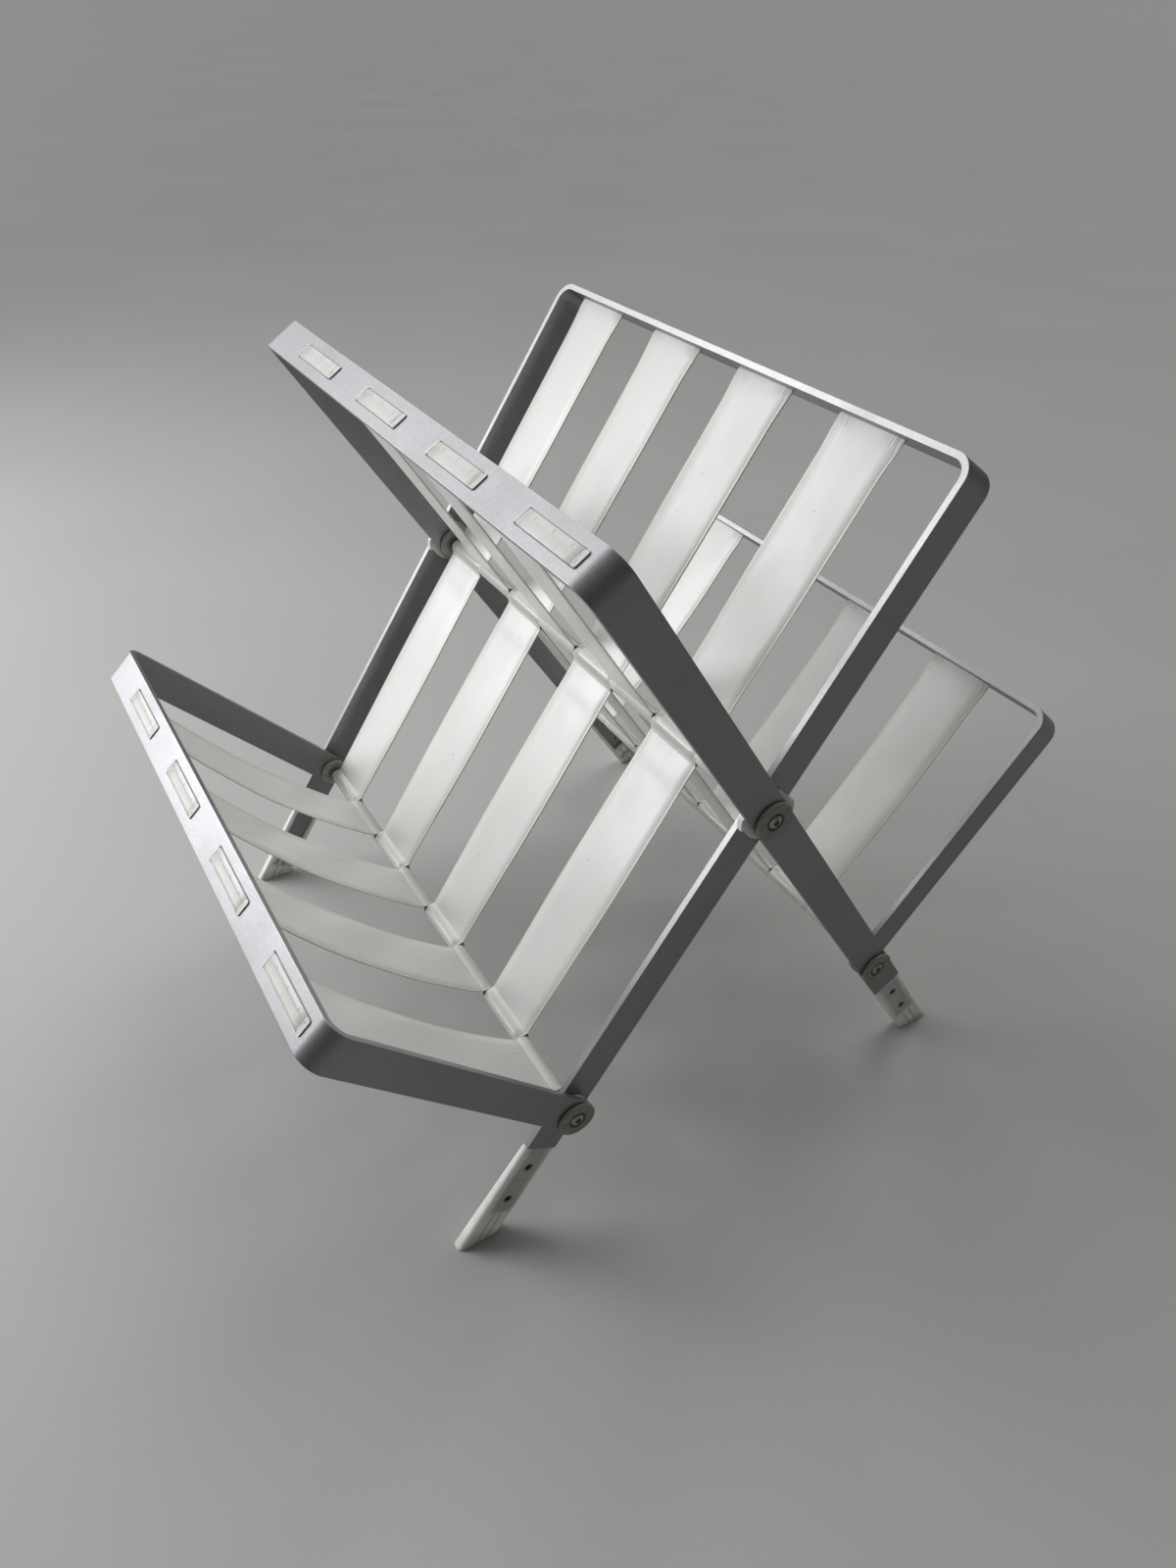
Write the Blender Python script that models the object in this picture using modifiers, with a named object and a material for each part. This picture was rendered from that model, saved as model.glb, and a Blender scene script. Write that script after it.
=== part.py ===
"""Folding magazine rack: two long U-frames crossed like scissors, two short
U-frames hinged to their lower legs as side wings, and sixteen plastic straps
that make three V-shaped pockets.

Axes: +Z up, Y along the three pivot rods, X across the pockets.
Origin: on the floor, under the centre of the bounding box.
Units: metres.
"""
import bpy
import bmesh
import math
from mathutils import Matrix, Vector

MM = 0.001

# ---------------------------------------------------------------- dimensions
FRAME_W = 426.0        # outer width of every U-frame, along Y
BAR_W = 25.0           # flat bar, wide way
BAR_T = 4.2            # flat bar, thin way
BEND_R = 13.5          # outer radius of the U's bent corners
STEP_Y = 9.0           # sideways shift between neighbouring frames
LONG_TOP = 221.7       # centre pivot to the outer face of the top bar
LEG_TO_SIDE = 231.4    # centre pivot to side pivot
LEG_END = 267.2        # centre pivot to the end of the full-thickness bar
TONGUE_END = 323.0     # centre pivot to the end of the thinned tongue
TONGUE_W = 17.0
TONGUE_T = 2.0
WING_TOP = 218.4       # side pivot to the outer face of the wing's top bar
PIVOT_Z = 293.6        # height of the centre pivot
LEG_ANGLE = 56.2       # long frames, from the floor
LEFT_WING_ANGLE = 46.5   # left wing, from the floor
RIGHT_WING_ANGLE = 50.4  # right wing, from the floor

PITCH = 98.4           # strap to strap on one frame; the other frame's
                       # straps lie half a pitch to the side
WINDOW_L = 57.0        # recess in the top bar for a strap end
WINDOW_H = 11.0
WINDOW_D = 2.7
SLOT_L = 55.0          # through slot at the bottom of the recess
SLOT_H = 3.6
STRAP_W = 48.6
STRAP_HALF = 0.8       # half of the doubled band
KEEPER_HALF = 4.0      # strap end rolled round its keeper strip
KEEPER_IN = 2.4
KEEPER_OUT = 1.1
LOOP_R = 5.2           # band round a rod, outside
LOOP_BORE = 4.3
TAPER = 26.0           # where the two layers part before a rod
LEFT_BOW = 9.0         # slack of the wing straps
RIGHT_BOW = 5.0

ROD_R = 4.0
BORE_R = 4.3
ROD_HALF = 217.3
SCREW_BORE_R = 2.8
SCREW_BORE_D = 15.0
DISC_R = 13.0
DISC_T = 2.4
RECESS_R = 5.9
RECESS_D = 1.4
HEAD_R = 5.2
SHANK_R = 2.5
WASHER_R = 12.0
WASHER_T = 2.4
SPACER_R = 11.6
STOP_R = 16.4
STOP_EAR_R = 19.6
GAP = 0.3

SHOE_T_TOP = 5.6
SHOE_T_LOW = 8.2
FOOT_HOLES = (284.5, 313.0)   # distance of the shoe screws from the centre pivot
FOOT_HEAD_R = 2.5
FOOT_SHANK_R = 1.3

RAD = math.radians
TH = RAD(LEG_ANGLE)

# The box round the rack is wider on the left, because that wing lies flatter,
# so the centre pivot stands a little right of the origin.
left_reach = (LEG_TO_SIDE * math.cos(TH) + (WING_TOP + KEEPER_OUT) * math.cos(RAD(LEFT_WING_ANGLE))
              + KEEPER_HALF * math.sin(RAD(LEFT_WING_ANGLE)))
left_corner = (LEG_TO_SIDE * math.cos(TH) + WING_TOP * math.cos(RAD(LEFT_WING_ANGLE))
               + BAR_W / 2 * math.sin(RAD(LEFT_WING_ANGLE)))
right_reach = (LEG_TO_SIDE * math.cos(TH) + (WING_TOP + KEEPER_OUT) * math.cos(RAD(RIGHT_WING_ANGLE))
               + KEEPER_HALF * math.sin(RAD(RIGHT_WING_ANGLE)))
right_corner = (LEG_TO_SIDE * math.cos(TH) + WING_TOP * math.cos(RAD(RIGHT_WING_ANGLE))
                + BAR_W / 2 * math.sin(RAD(RIGHT_WING_ANGLE)))
PIVOT_X = (max(left_reach, left_corner) - max(right_reach, right_corner)) / 2

# ------------------------------------------------------------------- scene
for ob in list(bpy.data.objects):
    bpy.data.objects.remove(ob, do_unlink=True)

rack = bpy.data.collections.new("magazine_rack")
cutters = bpy.data.collections.new("cutters")
bpy.context.scene.collection.children.link(rack)
bpy.context.scene.collection.children.link(cutters)


def material(name, colour, rough, metal):
    mat = bpy.data.materials.new(name)
    mat.use_nodes = True
    shader = mat.node_tree.nodes["Principled BSDF"]
    shader.inputs["Base Color"].default_value = (*colour, 1.0)
    shader.inputs["Roughness"].default_value = rough
    shader.inputs["Metallic"].default_value = metal
    return mat


ALU = material("anodised_aluminium", (0.56, 0.56, 0.58), 0.42, 1.0)
STRAP = material("strap_white", (0.78, 0.78, 0.75), 0.45, 0.0)
GREY = material("disc_grey", (0.20, 0.20, 0.18), 0.55, 0.0)
CLEAR = material("shoe_white", (0.80, 0.80, 0.77), 0.40, 0.0)
STEEL = material("screw_steel", (0.45, 0.45, 0.45), 0.30, 1.0)
BLACK = material("screw_black", (0.03, 0.03, 0.03), 0.50, 0.6)


# ---------------------------------------------------------- small modelling kit
def add_object(name, mesh, mat, place=None, helper=False):
    ob = bpy.data.objects.new(name, mesh)
    if mat is not None:
        if not mesh.materials:
            mesh.materials.append(mat)
    (cutters if helper else rack).objects.link(ob)
    if place is not None:
        ob.matrix_world = place
    if helper:
        ob.hide_render = True
        ob.display_type = "WIRE"
    return ob


def outline_mesh(name, outer, holes, half, stand_up=False):
    """A flat outline, given in millimetres, thickened by half to either side.
    It lies in XY. stand_up turns its Y to Z, so the thickness runs along Y."""
    curve = bpy.data.curves.new(name + "_outline", "CURVE")
    curve.dimensions = "2D"
    curve.fill_mode = "BOTH"
    curve.extrude = half * MM
    for points in [outer] + holes:
        spline = curve.splines.new("POLY")
        spline.points.add(len(points) - 1)
        for p, (x, y) in zip(spline.points, points):
            p.co = (x * MM, y * MM, 0.0, 1.0)
        spline.use_cyclic_u = True
    temp = bpy.data.objects.new(name + "_curve", curve)
    bpy.context.scene.collection.objects.link(temp)
    bpy.context.view_layer.update()
    graph = bpy.context.evaluated_depsgraph_get()
    mesh = bpy.data.meshes.new_from_object(temp.evaluated_get(graph))
    mesh.name = name
    mesh.materials.clear()
    bm = bmesh.new()
    bm.from_mesh(mesh)
    bmesh.ops.remove_doubles(bm, verts=bm.verts, dist=0.00001)
    bmesh.ops.recalc_face_normals(bm, faces=bm.faces)
    if stand_up:
        bmesh.ops.rotate(bm, verts=bm.verts, cent=(0, 0, 0),
                         matrix=Matrix.Rotation(RAD(90.0), 3, "X"))
    bm.to_mesh(mesh)
    bm.free()
    bpy.data.objects.remove(temp, do_unlink=True)
    bpy.data.curves.remove(curve)
    return mesh


def boxes_mesh(name, boxes):
    """Separate boxes in one mesh, each as (low corner, high corner) in mm."""
    bm = bmesh.new()
    for low, high in boxes:
        size = [(h - l) * MM for l, h in zip(low, high)]
        mid = [(h + l) / 2 * MM for l, h in zip(low, high)]
        bmesh.ops.create_cube(bm, size=1.0, matrix=Matrix.Translation(mid)
                              @ Matrix.Diagonal((*size, 1.0)))
    mesh = bpy.data.meshes.new(name)
    bm.to_mesh(mesh)
    bm.free()
    return mesh


def drills_mesh(name, drills, segments):
    """Cylinders along Y, each as (u, n, radius, y_low, y_high) in mm."""
    bm = bmesh.new()
    for u, n, r, y0, y1 in drills:
        place = (Matrix.Translation((u * MM, (y0 + y1) / 2 * MM, n * MM))
                 @ Matrix.Rotation(RAD(90.0), 4, "X"))
        bmesh.ops.create_cone(bm, cap_ends=True, segments=segments, radius1=r * MM,
                              radius2=r * MM, depth=(y1 - y0) * MM, matrix=place)
    mesh = bpy.data.meshes.new(name)
    bm.to_mesh(mesh)
    bm.free()
    return mesh


def cut(ob, cutter, operation="DIFFERENCE"):
    mod = ob.modifiers.new(cutter.name, "BOOLEAN")
    mod.operation = operation
    mod.solver = "EXACT"
    mod.object = cutter


def turned(name, profile, steps, mat, place):
    """A profile of (radius, height) points in mm, turned about its own Z."""
    bm = bmesh.new()
    verts = [bm.verts.new((r * MM, 0.0, z * MM)) for r, z in profile]
    closed = profile[0][0] > 0.0
    pairs = list(zip(verts, verts[1:] + ([verts[0]] if closed else [])))
    for a, b in (pairs if closed else pairs[:len(verts) - 1]):
        bm.edges.new((a, b))
    mesh = bpy.data.meshes.new(name)
    bm.to_mesh(mesh)
    bm.free()
    ob = add_object(name, mesh, mat, place)
    mod = ob.modifiers.new("turn", "SCREW")
    mod.axis = "Z"
    mod.angle = RAD(360.0)
    mod.steps = steps
    mod.render_steps = steps
    mod.use_merge_vertices = True
    mod.merge_threshold = 0.00001
    mod.use_normal_calculate = True
    mod.use_smooth_shade = False
    # faces must point out: the enclosed volume tells which way they turned
    bpy.context.view_layer.update()
    graph = bpy.context.evaluated_depsgraph_get()
    solid = ob.evaluated_get(graph).to_mesh()
    bm = bmesh.new()
    bm.from_mesh(solid)
    mod.use_normal_flip = bm.calc_volume(signed=True) < 0.0
    bm.free()
    return ob


def arc(cx, cy, r, a0, a1, n):
    return [(cx + r * math.cos(RAD(a0 + (a1 - a0) * k / n)),
             cy + r * math.sin(RAD(a0 + (a1 - a0) * k / n))) for k in range(n + 1)]


# ----------------------------------------------------- where each frame stands
P0 = Vector((PIVOT_X, 0.0, PIVOT_Z))
P_LEFT = P0 + Vector((-math.cos(TH), 0.0, -math.sin(TH))) * LEG_TO_SIDE
P_RIGHT = P0 + Vector((math.cos(TH), 0.0, -math.sin(TH))) * LEG_TO_SIDE
HALF_TURN = Matrix.Rotation(RAD(180.0), 4, "Z")


def stand(pivot, angle, y, turned_round):
    """Local X points from the pivot to the top bar, local Y along the rods and
    local Z down and away from the pocket's inside on the left-hand frames.
    The right-hand frames are the same pieces turned half round about Z."""
    lean = Matrix.Rotation(-RAD(180.0 - angle), 4, "Y")
    turn = HALF_TURN if turned_round else Matrix.Identity(4)
    return Matrix.Translation(Vector((pivot.x, y, pivot.z)) * MM) @ turn @ lean


STAND = {
    "a": stand(P0, LEG_ANGLE, -STEP_Y / 2, False),
    "b": stand(P0, LEG_ANGLE, STEP_Y / 2, True),
    "left": stand(P_LEFT, LEFT_WING_ANGLE, -STEP_Y / 2, False),
    "right": stand(P_RIGHT, RIGHT_WING_ANGLE, STEP_Y / 2, True),
}

# Straps of the left-hand set lie at -172.2, -73.8, 24.6 and 123 mm in the
# world, so on their frame they lie half the frames' shift further along.
STRAP_Y = [-1.75 * PITCH + k * PITCH + STEP_Y / 2 for k in range(4)]
H = FRAME_W / 2
HI = H - BAR_T


# ------------------------------------------------------------------- frames
def u_outline(top, leg_low, tongue):
    """The bar's path seen square to the U, as one closed outline."""
    pts = []
    if tongue:
        pts += [(-LEG_END, -H)]
    else:
        pts += [(leg_low, -H)]
    pts += arc(top - BEND_R, -H + BEND_R, BEND_R, -90, 0, 6)
    pts += arc(top - BEND_R, H - BEND_R, BEND_R, 0, 90, 6)
    inner_r = BEND_R - BAR_T
    if tongue:
        pts += [(-LEG_END, H), (-LEG_END, HI + TONGUE_T), (-TONGUE_END, HI + TONGUE_T),
                (-TONGUE_END, HI)]
    else:
        pts += [(leg_low, H), (leg_low, HI)]
    pts += arc(top - BEND_R, H - BEND_R, inner_r, 90, 0, 6)
    pts += arc(top - BEND_R, -H + BEND_R, inner_r, 0, -90, 6)
    if tongue:
        pts += [(-TONGUE_END, -HI), (-TONGUE_END, -HI - TONGUE_T), (-LEG_END, -HI - TONGUE_T)]
    else:
        pts += [(leg_low, -HI)]
    return pts


def window_cutters(name, top, place):
    recess = boxes_mesh(name + "_recesses", [
        ((top - WINDOW_D, y - WINDOW_L / 2, -WINDOW_H / 2),
         (top + 5, y + WINDOW_L / 2, WINDOW_H / 2)) for y in STRAP_Y])
    slot = boxes_mesh(name + "_slots", [
        ((top - 8, y - SLOT_L / 2, -SLOT_H / 2),
         (top - 1, y + SLOT_L / 2, SLOT_H / 2)) for y in STRAP_Y])
    return [add_object(name + "_recess_cutter", recess, None, place, True),
            add_object(name + "_slot_cutter", slot, None, place, True)]


def long_frame(name, key):
    place = STAND[key]
    ob = add_object(name, outline_mesh(name, u_outline(LONG_TOP, 0, True), [], BAR_W / 2),
                    ALU, place)
    for c in window_cutters(name, LONG_TOP, place):
        cut(ob, c)
    side = BAR_W / 2 + 3
    sides = boxes_mesh(name + "_tongue_sides", [
        ((-TONGUE_END - 5, -H - 5, TONGUE_W / 2), (-LEG_END, H + 5, side)),
        ((-TONGUE_END - 5, -H - 5, -side), (-LEG_END, H + 5, -TONGUE_W / 2))])
    cut(ob, add_object(name + "_tongue_cutter", sides, None, place, True))
    bores = drills_mesh(name + "_bores", [
        (u, 0, BORE_R, s * H - 9, s * H + 9) for u in (0.0, -LEG_TO_SIDE) for s in (-1, 1)], 20)
    cut(ob, add_object(name + "_bore_cutter", bores, None, place, True))
    holes = drills_mesh(name + "_holes", [
        (-d, 0, FOOT_SHANK_R + GAP, s * H - 9, s * H + 9) for d in FOOT_HOLES for s in (-1, 1)], 12)
    cut(ob, add_object(name + "_hole_cutter", holes, None, place, True))
    return ob


def wing_frame(name, key):
    place = STAND[key]
    end = -BAR_W / 2
    ob = add_object(name, outline_mesh(name, u_outline(WING_TOP, end - 4, False), [], BAR_W / 2),
                    ALU, place)
    # the legs' lower ends are rounded about the pivot
    r = BAR_W / 2
    rounded = arc(0, 0, r, 90, 270, 12) + [(WING_TOP + 9, -r - 0.001), (WING_TOP + 9, r + 0.001)]
    keep = outline_mesh(name + "_envelope", rounded, [], H + 9, stand_up=True)
    cut(ob, add_object(name + "_end_cutter", keep, None, place, True), "INTERSECT")
    for c in window_cutters(name, WING_TOP, place):
        cut(ob, c)
    bores = drills_mesh(name + "_bores", [(0.0, 0, BORE_R, s * H - 9, s * H + 9)
                                          for s in (-1, 1)], 20)
    cut(ob, add_object(name + "_bore_cutter", bores, None, place, True))
    return ob


long_frame("cross_frame_a", "a")
long_frame("cross_frame_b", "b")
wing_frame("wing_frame_left", "left")
wing_frame("wing_frame_right", "right")


# ------------------------------------------------------------------- straps
def strap_outline(top, low, mid_ring, bow):
    """Side view of a doubled strap. It is rolled round its keeper in the top
    bar, runs down, parts round the centre rod if it meets one, and ends in a
    loop round its lower rod at `low`."""
    span = top - low

    def bend(u):
        s = (u - low) / span
        return bow * 4.0 * s * (1.0 - s)

    upper = [(top + KEEPER_OUT, KEEPER_HALF * 0.8), (top - 0.4, KEEPER_HALF),
             (top - KEEPER_IN, KEEPER_HALF), (top - KEEPER_IN, STRAP_HALF)]
    stations = []
    if mid_ring:
        stations += [TAPER]
        ring = arc(0, 0, LOOP_R, 78, 102, 2)
        stations += ring + [-TAPER]
    elif bow:
        count = 8
        first = top - KEEPER_IN - 12
        last = low + TAPER
        stations += [first + (last - first) * k / count for k in range(count)]
    for s in stations:
        if isinstance(s, tuple):
            upper.append(s)
        else:
            upper.append((s, STRAP_HALF + bend(s)))
    upper.append((low + TAPER, STRAP_HALF + bend(low + TAPER)))
    lower = [(x, -(y - 2 * bend(x)) if (bow and x < top - KEEPER_IN - 1) else -y)
             for x, y in upper]
    # loop end: from the upper tangent round the far side to the lower tangent
    lean = math.degrees(math.atan2(bend(low + TAPER), TAPER))
    loop = arc(low, 0, LOOP_R, 78 + lean, 282 + lean, 8)
    pts = upper + loop + list(reversed(lower))
    pts.append((top + KEEPER_OUT + 0.3, 0.0))
    holes = [arc(low, 0, LOOP_BORE, 0, 330, 11)]
    if mid_ring:
        holes.append(arc(0, 0, LOOP_BORE, 0, 330, 11))
    return pts, holes


def straps(prefix, key, top, low, mid_ring, bow):
    pts, holes = strap_outline(top, low, mid_ring, bow)
    mesh = outline_mesh(prefix, pts, holes, STRAP_W / 2, stand_up=True)
    for k, y in enumerate(STRAP_Y):
        place = STAND[key] @ Matrix.Translation((0.0, y * MM, 0.0))
        add_object("%s_%d" % (prefix, k + 1), mesh, STRAP, place)


straps("strap_a", "a", LONG_TOP, -LEG_TO_SIDE, True, 0.0)
straps("strap_b", "b", LONG_TOP, -LEG_TO_SIDE, True, 0.0)
straps("strap_left", "left", WING_TOP, 0.0, False, LEFT_BOW)
straps("strap_right", "right", WING_TOP, 0.0, False, RIGHT_BOW)


# ------------------------------------------------------------------- pivots
def along_y(pivot, side):
    """Local +Z points outward along the rods, on the near (-1) or far (1) side."""
    turn = Matrix.Rotation(RAD(-90.0 * side), 4, "X")
    return Matrix.Translation(Vector((pivot.x, 0.0, pivot.z)) * MM) @ turn


OUT = H + STEP_Y / 2            # outer face of the outermost bar
IN = H - STEP_Y / 2 - BAR_T     # inner face of the innermost bar

for where, pivot in (("center", P0), ("left", P_LEFT), ("right", P_RIGHT)):
    bore_floor = ROD_HALF - SCREW_BORE_D
    turned(where + "_rod", [
        (0.0, bore_floor), (SCREW_BORE_R, bore_floor), (SCREW_BORE_R, ROD_HALF),
        (ROD_R, ROD_HALF), (ROD_R, -ROD_HALF), (SCREW_BORE_R, -ROD_HALF),
        (SCREW_BORE_R, -bore_floor), (0.0, -bore_floor)], 18, ALU, along_y(pivot, 1))
    for label, side in (("near", -1), ("far", 1)):
        place = along_y(pivot, side)
        y0 = OUT + GAP
        y1 = y0 + DISC_T
        turned("%s_disc_%s" % (where, label), [
            (DISC_R, y1), (DISC_R, y0), (SCREW_BORE_R, y0),
            (SCREW_BORE_R, y1 - RECESS_D), (RECESS_R, y1 - RECESS_D), (RECESS_R, y1)],
            22, GREY, place)
        seat = y1 - RECESS_D + GAP
        tip = ROD_HALF - SCREW_BORE_D + 1.0
        turned("%s_screw_%s" % (where, label), [
            (0.0, seat + 1.9), (HEAD_R * 0.55, seat + 1.7), (HEAD_R, seat + 0.7), (HEAD_R, seat),
            (SHANK_R, seat), (SHANK_R, tip), (0.0, tip)],
            12, STEEL, place)
        w1 = IN - GAP
        turned("%s_washer_%s" % (where, label), [
            (WASHER_R, w1), (WASHER_R, w1 - WASHER_T),
            (BORE_R, w1 - WASHER_T), (BORE_R, w1)], 20, GREY, place)
        s0 = H - STEP_Y / 2 + GAP
        s1 = H + STEP_Y / 2 - BAR_T - GAP
        if where == "center":
            # the stop spacer: a thick washer with two ears that fill the
            # side angles between the crossed bars
            ears = (arc(0, 0, STOP_R, -160, -20, 9) + arc(0, 0, STOP_EAR_R, -13, 13, 3)
                    + arc(0, 0, STOP_R, 20, 160, 9) + arc(0, 0, STOP_EAR_R, 167, 193, 3))
            mesh = outline_mesh("stop_spacer_" + label, ears, [arc(0, 0, BORE_R, 0, 342, 19)],
                                (s1 - s0) / 2)
            shift = Matrix.Translation((0.0, 0.0, (s0 + s1) / 2 * MM))
            add_object("stop_spacer_" + label, mesh, CLEAR, place @ shift)
        else:
            turned("%s_spacer_%s" % (where, label), [
                (SPACER_R, s1), (SPACER_R, s0), (BORE_R, s0), (BORE_R, s1)], 20, CLEAR, place)


# --------------------------------------------------------------------- feet
floor_cut = add_object("floor_cutter", boxes_mesh("floor_cutter", [
    ((-400, -300, -60), (400, 300, 0))]), None, Matrix.Identity(4), True)


def foot(name, key, side):
    """side -1 or 1: on the leg at local -Y or +Y. The outer face is level
    with the bar's, the tongue lies in a channel open to the inside, and the
    hollow end has two ribs."""
    place = STAND[key]
    s = side
    top = -LEG_END - GAP
    low = -LEG_END - 110.0
    prof = [(top, s * H), (low, s * H), (low, s * (H - SHOE_T_LOW)),
            (-TONGUE_END - 10, s * (H - SHOE_T_LOW + 0.6)), (top - 3, s * (H - SHOE_T_TOP)),
            (top, s * (H - SHOE_T_TOP + 1.2))]
    ob = add_object(name, outline_mesh(name, prof, [], BAR_W / 2), CLEAR, place)

    def span(a, b):
        return (min(s * a, s * b), max(s * a, s * b))

    y0, y1 = span(H - BAR_T + TONGUE_T + GAP, H - 20)
    half = TONGUE_W / 2 + GAP
    channel = boxes_mesh(name + "_channel", [
        ((-TONGUE_END - GAP, y0, -half), (-LEG_END + 5, y1, half))])
    cut(ob, add_object(name + "_channel_cutter", channel, None, place, True))
    pockets = boxes_mesh(name + "_pockets", [
        ((-TONGUE_END - 18.0, y0, a), (-TONGUE_END - 3.5, y1, b))
        for a, b in ((-half, -3.5), (-2.3, 2.3), (3.5, half))])
    cut(ob, add_object(name + "_pocket_cutter", pockets, None, place, True))
    ya, yb = span(H - 1.2, H + 5)
    yc, yd = span(H - 5, H + 5)
    heads = drills_mesh(name + "_heads", [(-d, 0, FOOT_HEAD_R + GAP, ya, yb)
                                          for d in FOOT_HOLES], 14)
    cut(ob, add_object(name + "_head_cutter", heads, None, place, True))
    shanks = drills_mesh(name + "_shanks", [(-d, 0, FOOT_SHANK_R + GAP, yc, yd)
                                            for d in FOOT_HOLES], 14)
    cut(ob, add_object(name + "_shank_cutter", shanks, None, place, True))
    cut(ob, floor_cut)
    for k, d in enumerate(FOOT_HOLES):
        turn = Matrix.Rotation(RAD(-90.0 * s), 4, "X")
        at = place @ Matrix.Translation((-d * MM, 0.0, 0.0)) @ turn
        turned("%s_screw_%d" % (name, k + 1), [
            (0.0, H - 0.3), (FOOT_HEAD_R, H - 0.3), (FOOT_HEAD_R, H - 0.9), (FOOT_SHANK_R, H - 0.9), (FOOT_SHANK_R, H - BAR_T - 0.4),
            (0.0, H - BAR_T - 0.4)], 10, BLACK, at)
    return ob


foot("foot_a_near", "a", -1)
foot("foot_a_far", "a", 1)
foot("foot_b_far", "b", -1)
foot("foot_b_near", "b", 1)

# round pieces shade smooth, with their edges kept sharp
for ob in rack.objects:
    if ob.type == "MESH":
        ob.data.shade_smooth()
        ob.data.set_sharp_from_angle(angle=RAD(35.0))
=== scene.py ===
"""Looks for the folding magazine rack: satin anodised U-frames, doubled white
bands with their keeper strips, pivots with grey end discs, translucent shoes.

Every piece is built in the local frame of the U-frame or pivot it belongs to:
X from the pivot to the top bar, Y along the rods, Z away from the pocket.
"""
import bpy
import bmesh
import math
import random
import numpy as np
from mathutils import Matrix, Vector


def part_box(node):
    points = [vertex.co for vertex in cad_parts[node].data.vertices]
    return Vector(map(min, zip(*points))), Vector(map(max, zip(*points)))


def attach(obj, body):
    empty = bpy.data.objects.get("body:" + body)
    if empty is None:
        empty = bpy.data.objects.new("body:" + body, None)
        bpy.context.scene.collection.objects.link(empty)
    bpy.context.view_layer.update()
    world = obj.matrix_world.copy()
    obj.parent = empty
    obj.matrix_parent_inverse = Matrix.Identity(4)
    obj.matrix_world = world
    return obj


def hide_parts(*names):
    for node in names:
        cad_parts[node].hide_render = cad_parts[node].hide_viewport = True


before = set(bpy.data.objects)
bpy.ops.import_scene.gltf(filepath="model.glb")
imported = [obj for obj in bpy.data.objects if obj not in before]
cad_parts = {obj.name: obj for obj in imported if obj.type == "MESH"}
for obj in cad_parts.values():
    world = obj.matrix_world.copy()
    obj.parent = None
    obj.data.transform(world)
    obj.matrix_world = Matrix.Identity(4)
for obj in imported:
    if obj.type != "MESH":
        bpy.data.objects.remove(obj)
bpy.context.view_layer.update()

MM = 0.001
RAD = math.radians

# ------------------------------------------------------------ driving sizes, mm
FRAME_W = 426.0
BAR_W, BAR_T, BEND_R, STEP_Y = 25.0, 4.2, 13.5, 9.0
LONG_TOP, LEG_TO_SIDE, LEG_END, TONGUE_END = 221.7, 231.4, 267.2, 323.0
TONGUE_W, TONGUE_T, WING_TOP = 17.0, 2.0, 218.4
LEG_ANGLE, LEFT_WING_ANGLE, RIGHT_WING_ANGLE = 56.2, 46.5, 50.4
PITCH = 98.4
WINDOW_L, WINDOW_H, WINDOW_D, SLOT_L, SLOT_H = 57.0, 11.0, 2.7, 55.0, 3.6
LEFT_BOW, RIGHT_BOW = 9.0, 5.0
ROD_R, BORE_R, ROD_HALF = 4.0, 4.3, 217.3
SCREW_BORE_R, SCREW_BORE_D = 2.8, 15.0
DISC_R, DISC_T, RECESS_R, RECESS_D = 13.0, 2.4, 5.9, 1.4
HEAD_R, SHANK_R = 5.2, 2.5
WASHER_R, WASHER_T, SPACER_R, STOP_R, STOP_EAR_R = 12.0, 2.4, 11.6, 16.4, 19.6
GAP = 0.3
SHOE_T_TOP, SHOE_T_LOW = 5.6, 8.2
FOOT_HOLES = (284.5, 313.0)
FOOT_HEAD_R, FOOT_SHANK_R = 2.5, 1.3
H = FRAME_W / 2
HI = H - BAR_T
STRAP_Y = [-1.75 * PITCH + k * PITCH + STEP_Y / 2 for k in range(4)]
LAYER = 0.62            # thickness of one layer of band
LOOP_MID = 4.78         # radius of a band's middle surface round a rod


def middle(node):
    lo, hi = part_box(node)
    return (lo + hi) / 2


P0, P_LEFT, P_RIGHT = middle("center_rod"), middle("left_rod"), middle("right_rod")
HALF_TURN = Matrix.Rotation(RAD(180.0), 4, "Z")


def stand(pivot, angle, y, turned_round):
    lean = Matrix.Rotation(-RAD(180.0 - angle), 4, "Y")
    turn = HALF_TURN if turned_round else Matrix.Identity(4)
    return Matrix.Translation((pivot.x, y * MM, pivot.z)) @ turn @ lean


STAND = {
    "a": stand(P0, LEG_ANGLE, -STEP_Y / 2, False),
    "b": stand(P0, LEG_ANGLE, STEP_Y / 2, True),
    "left": stand(P_LEFT, LEFT_WING_ANGLE, -STEP_Y / 2, False),
    "right": stand(P_RIGHT, RIGHT_WING_ANGLE, STEP_Y / 2, True),
}
BODY = {"a": "cross_a", "b": "cross_b", "left": "left_wing", "right": "right_wing"}


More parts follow.
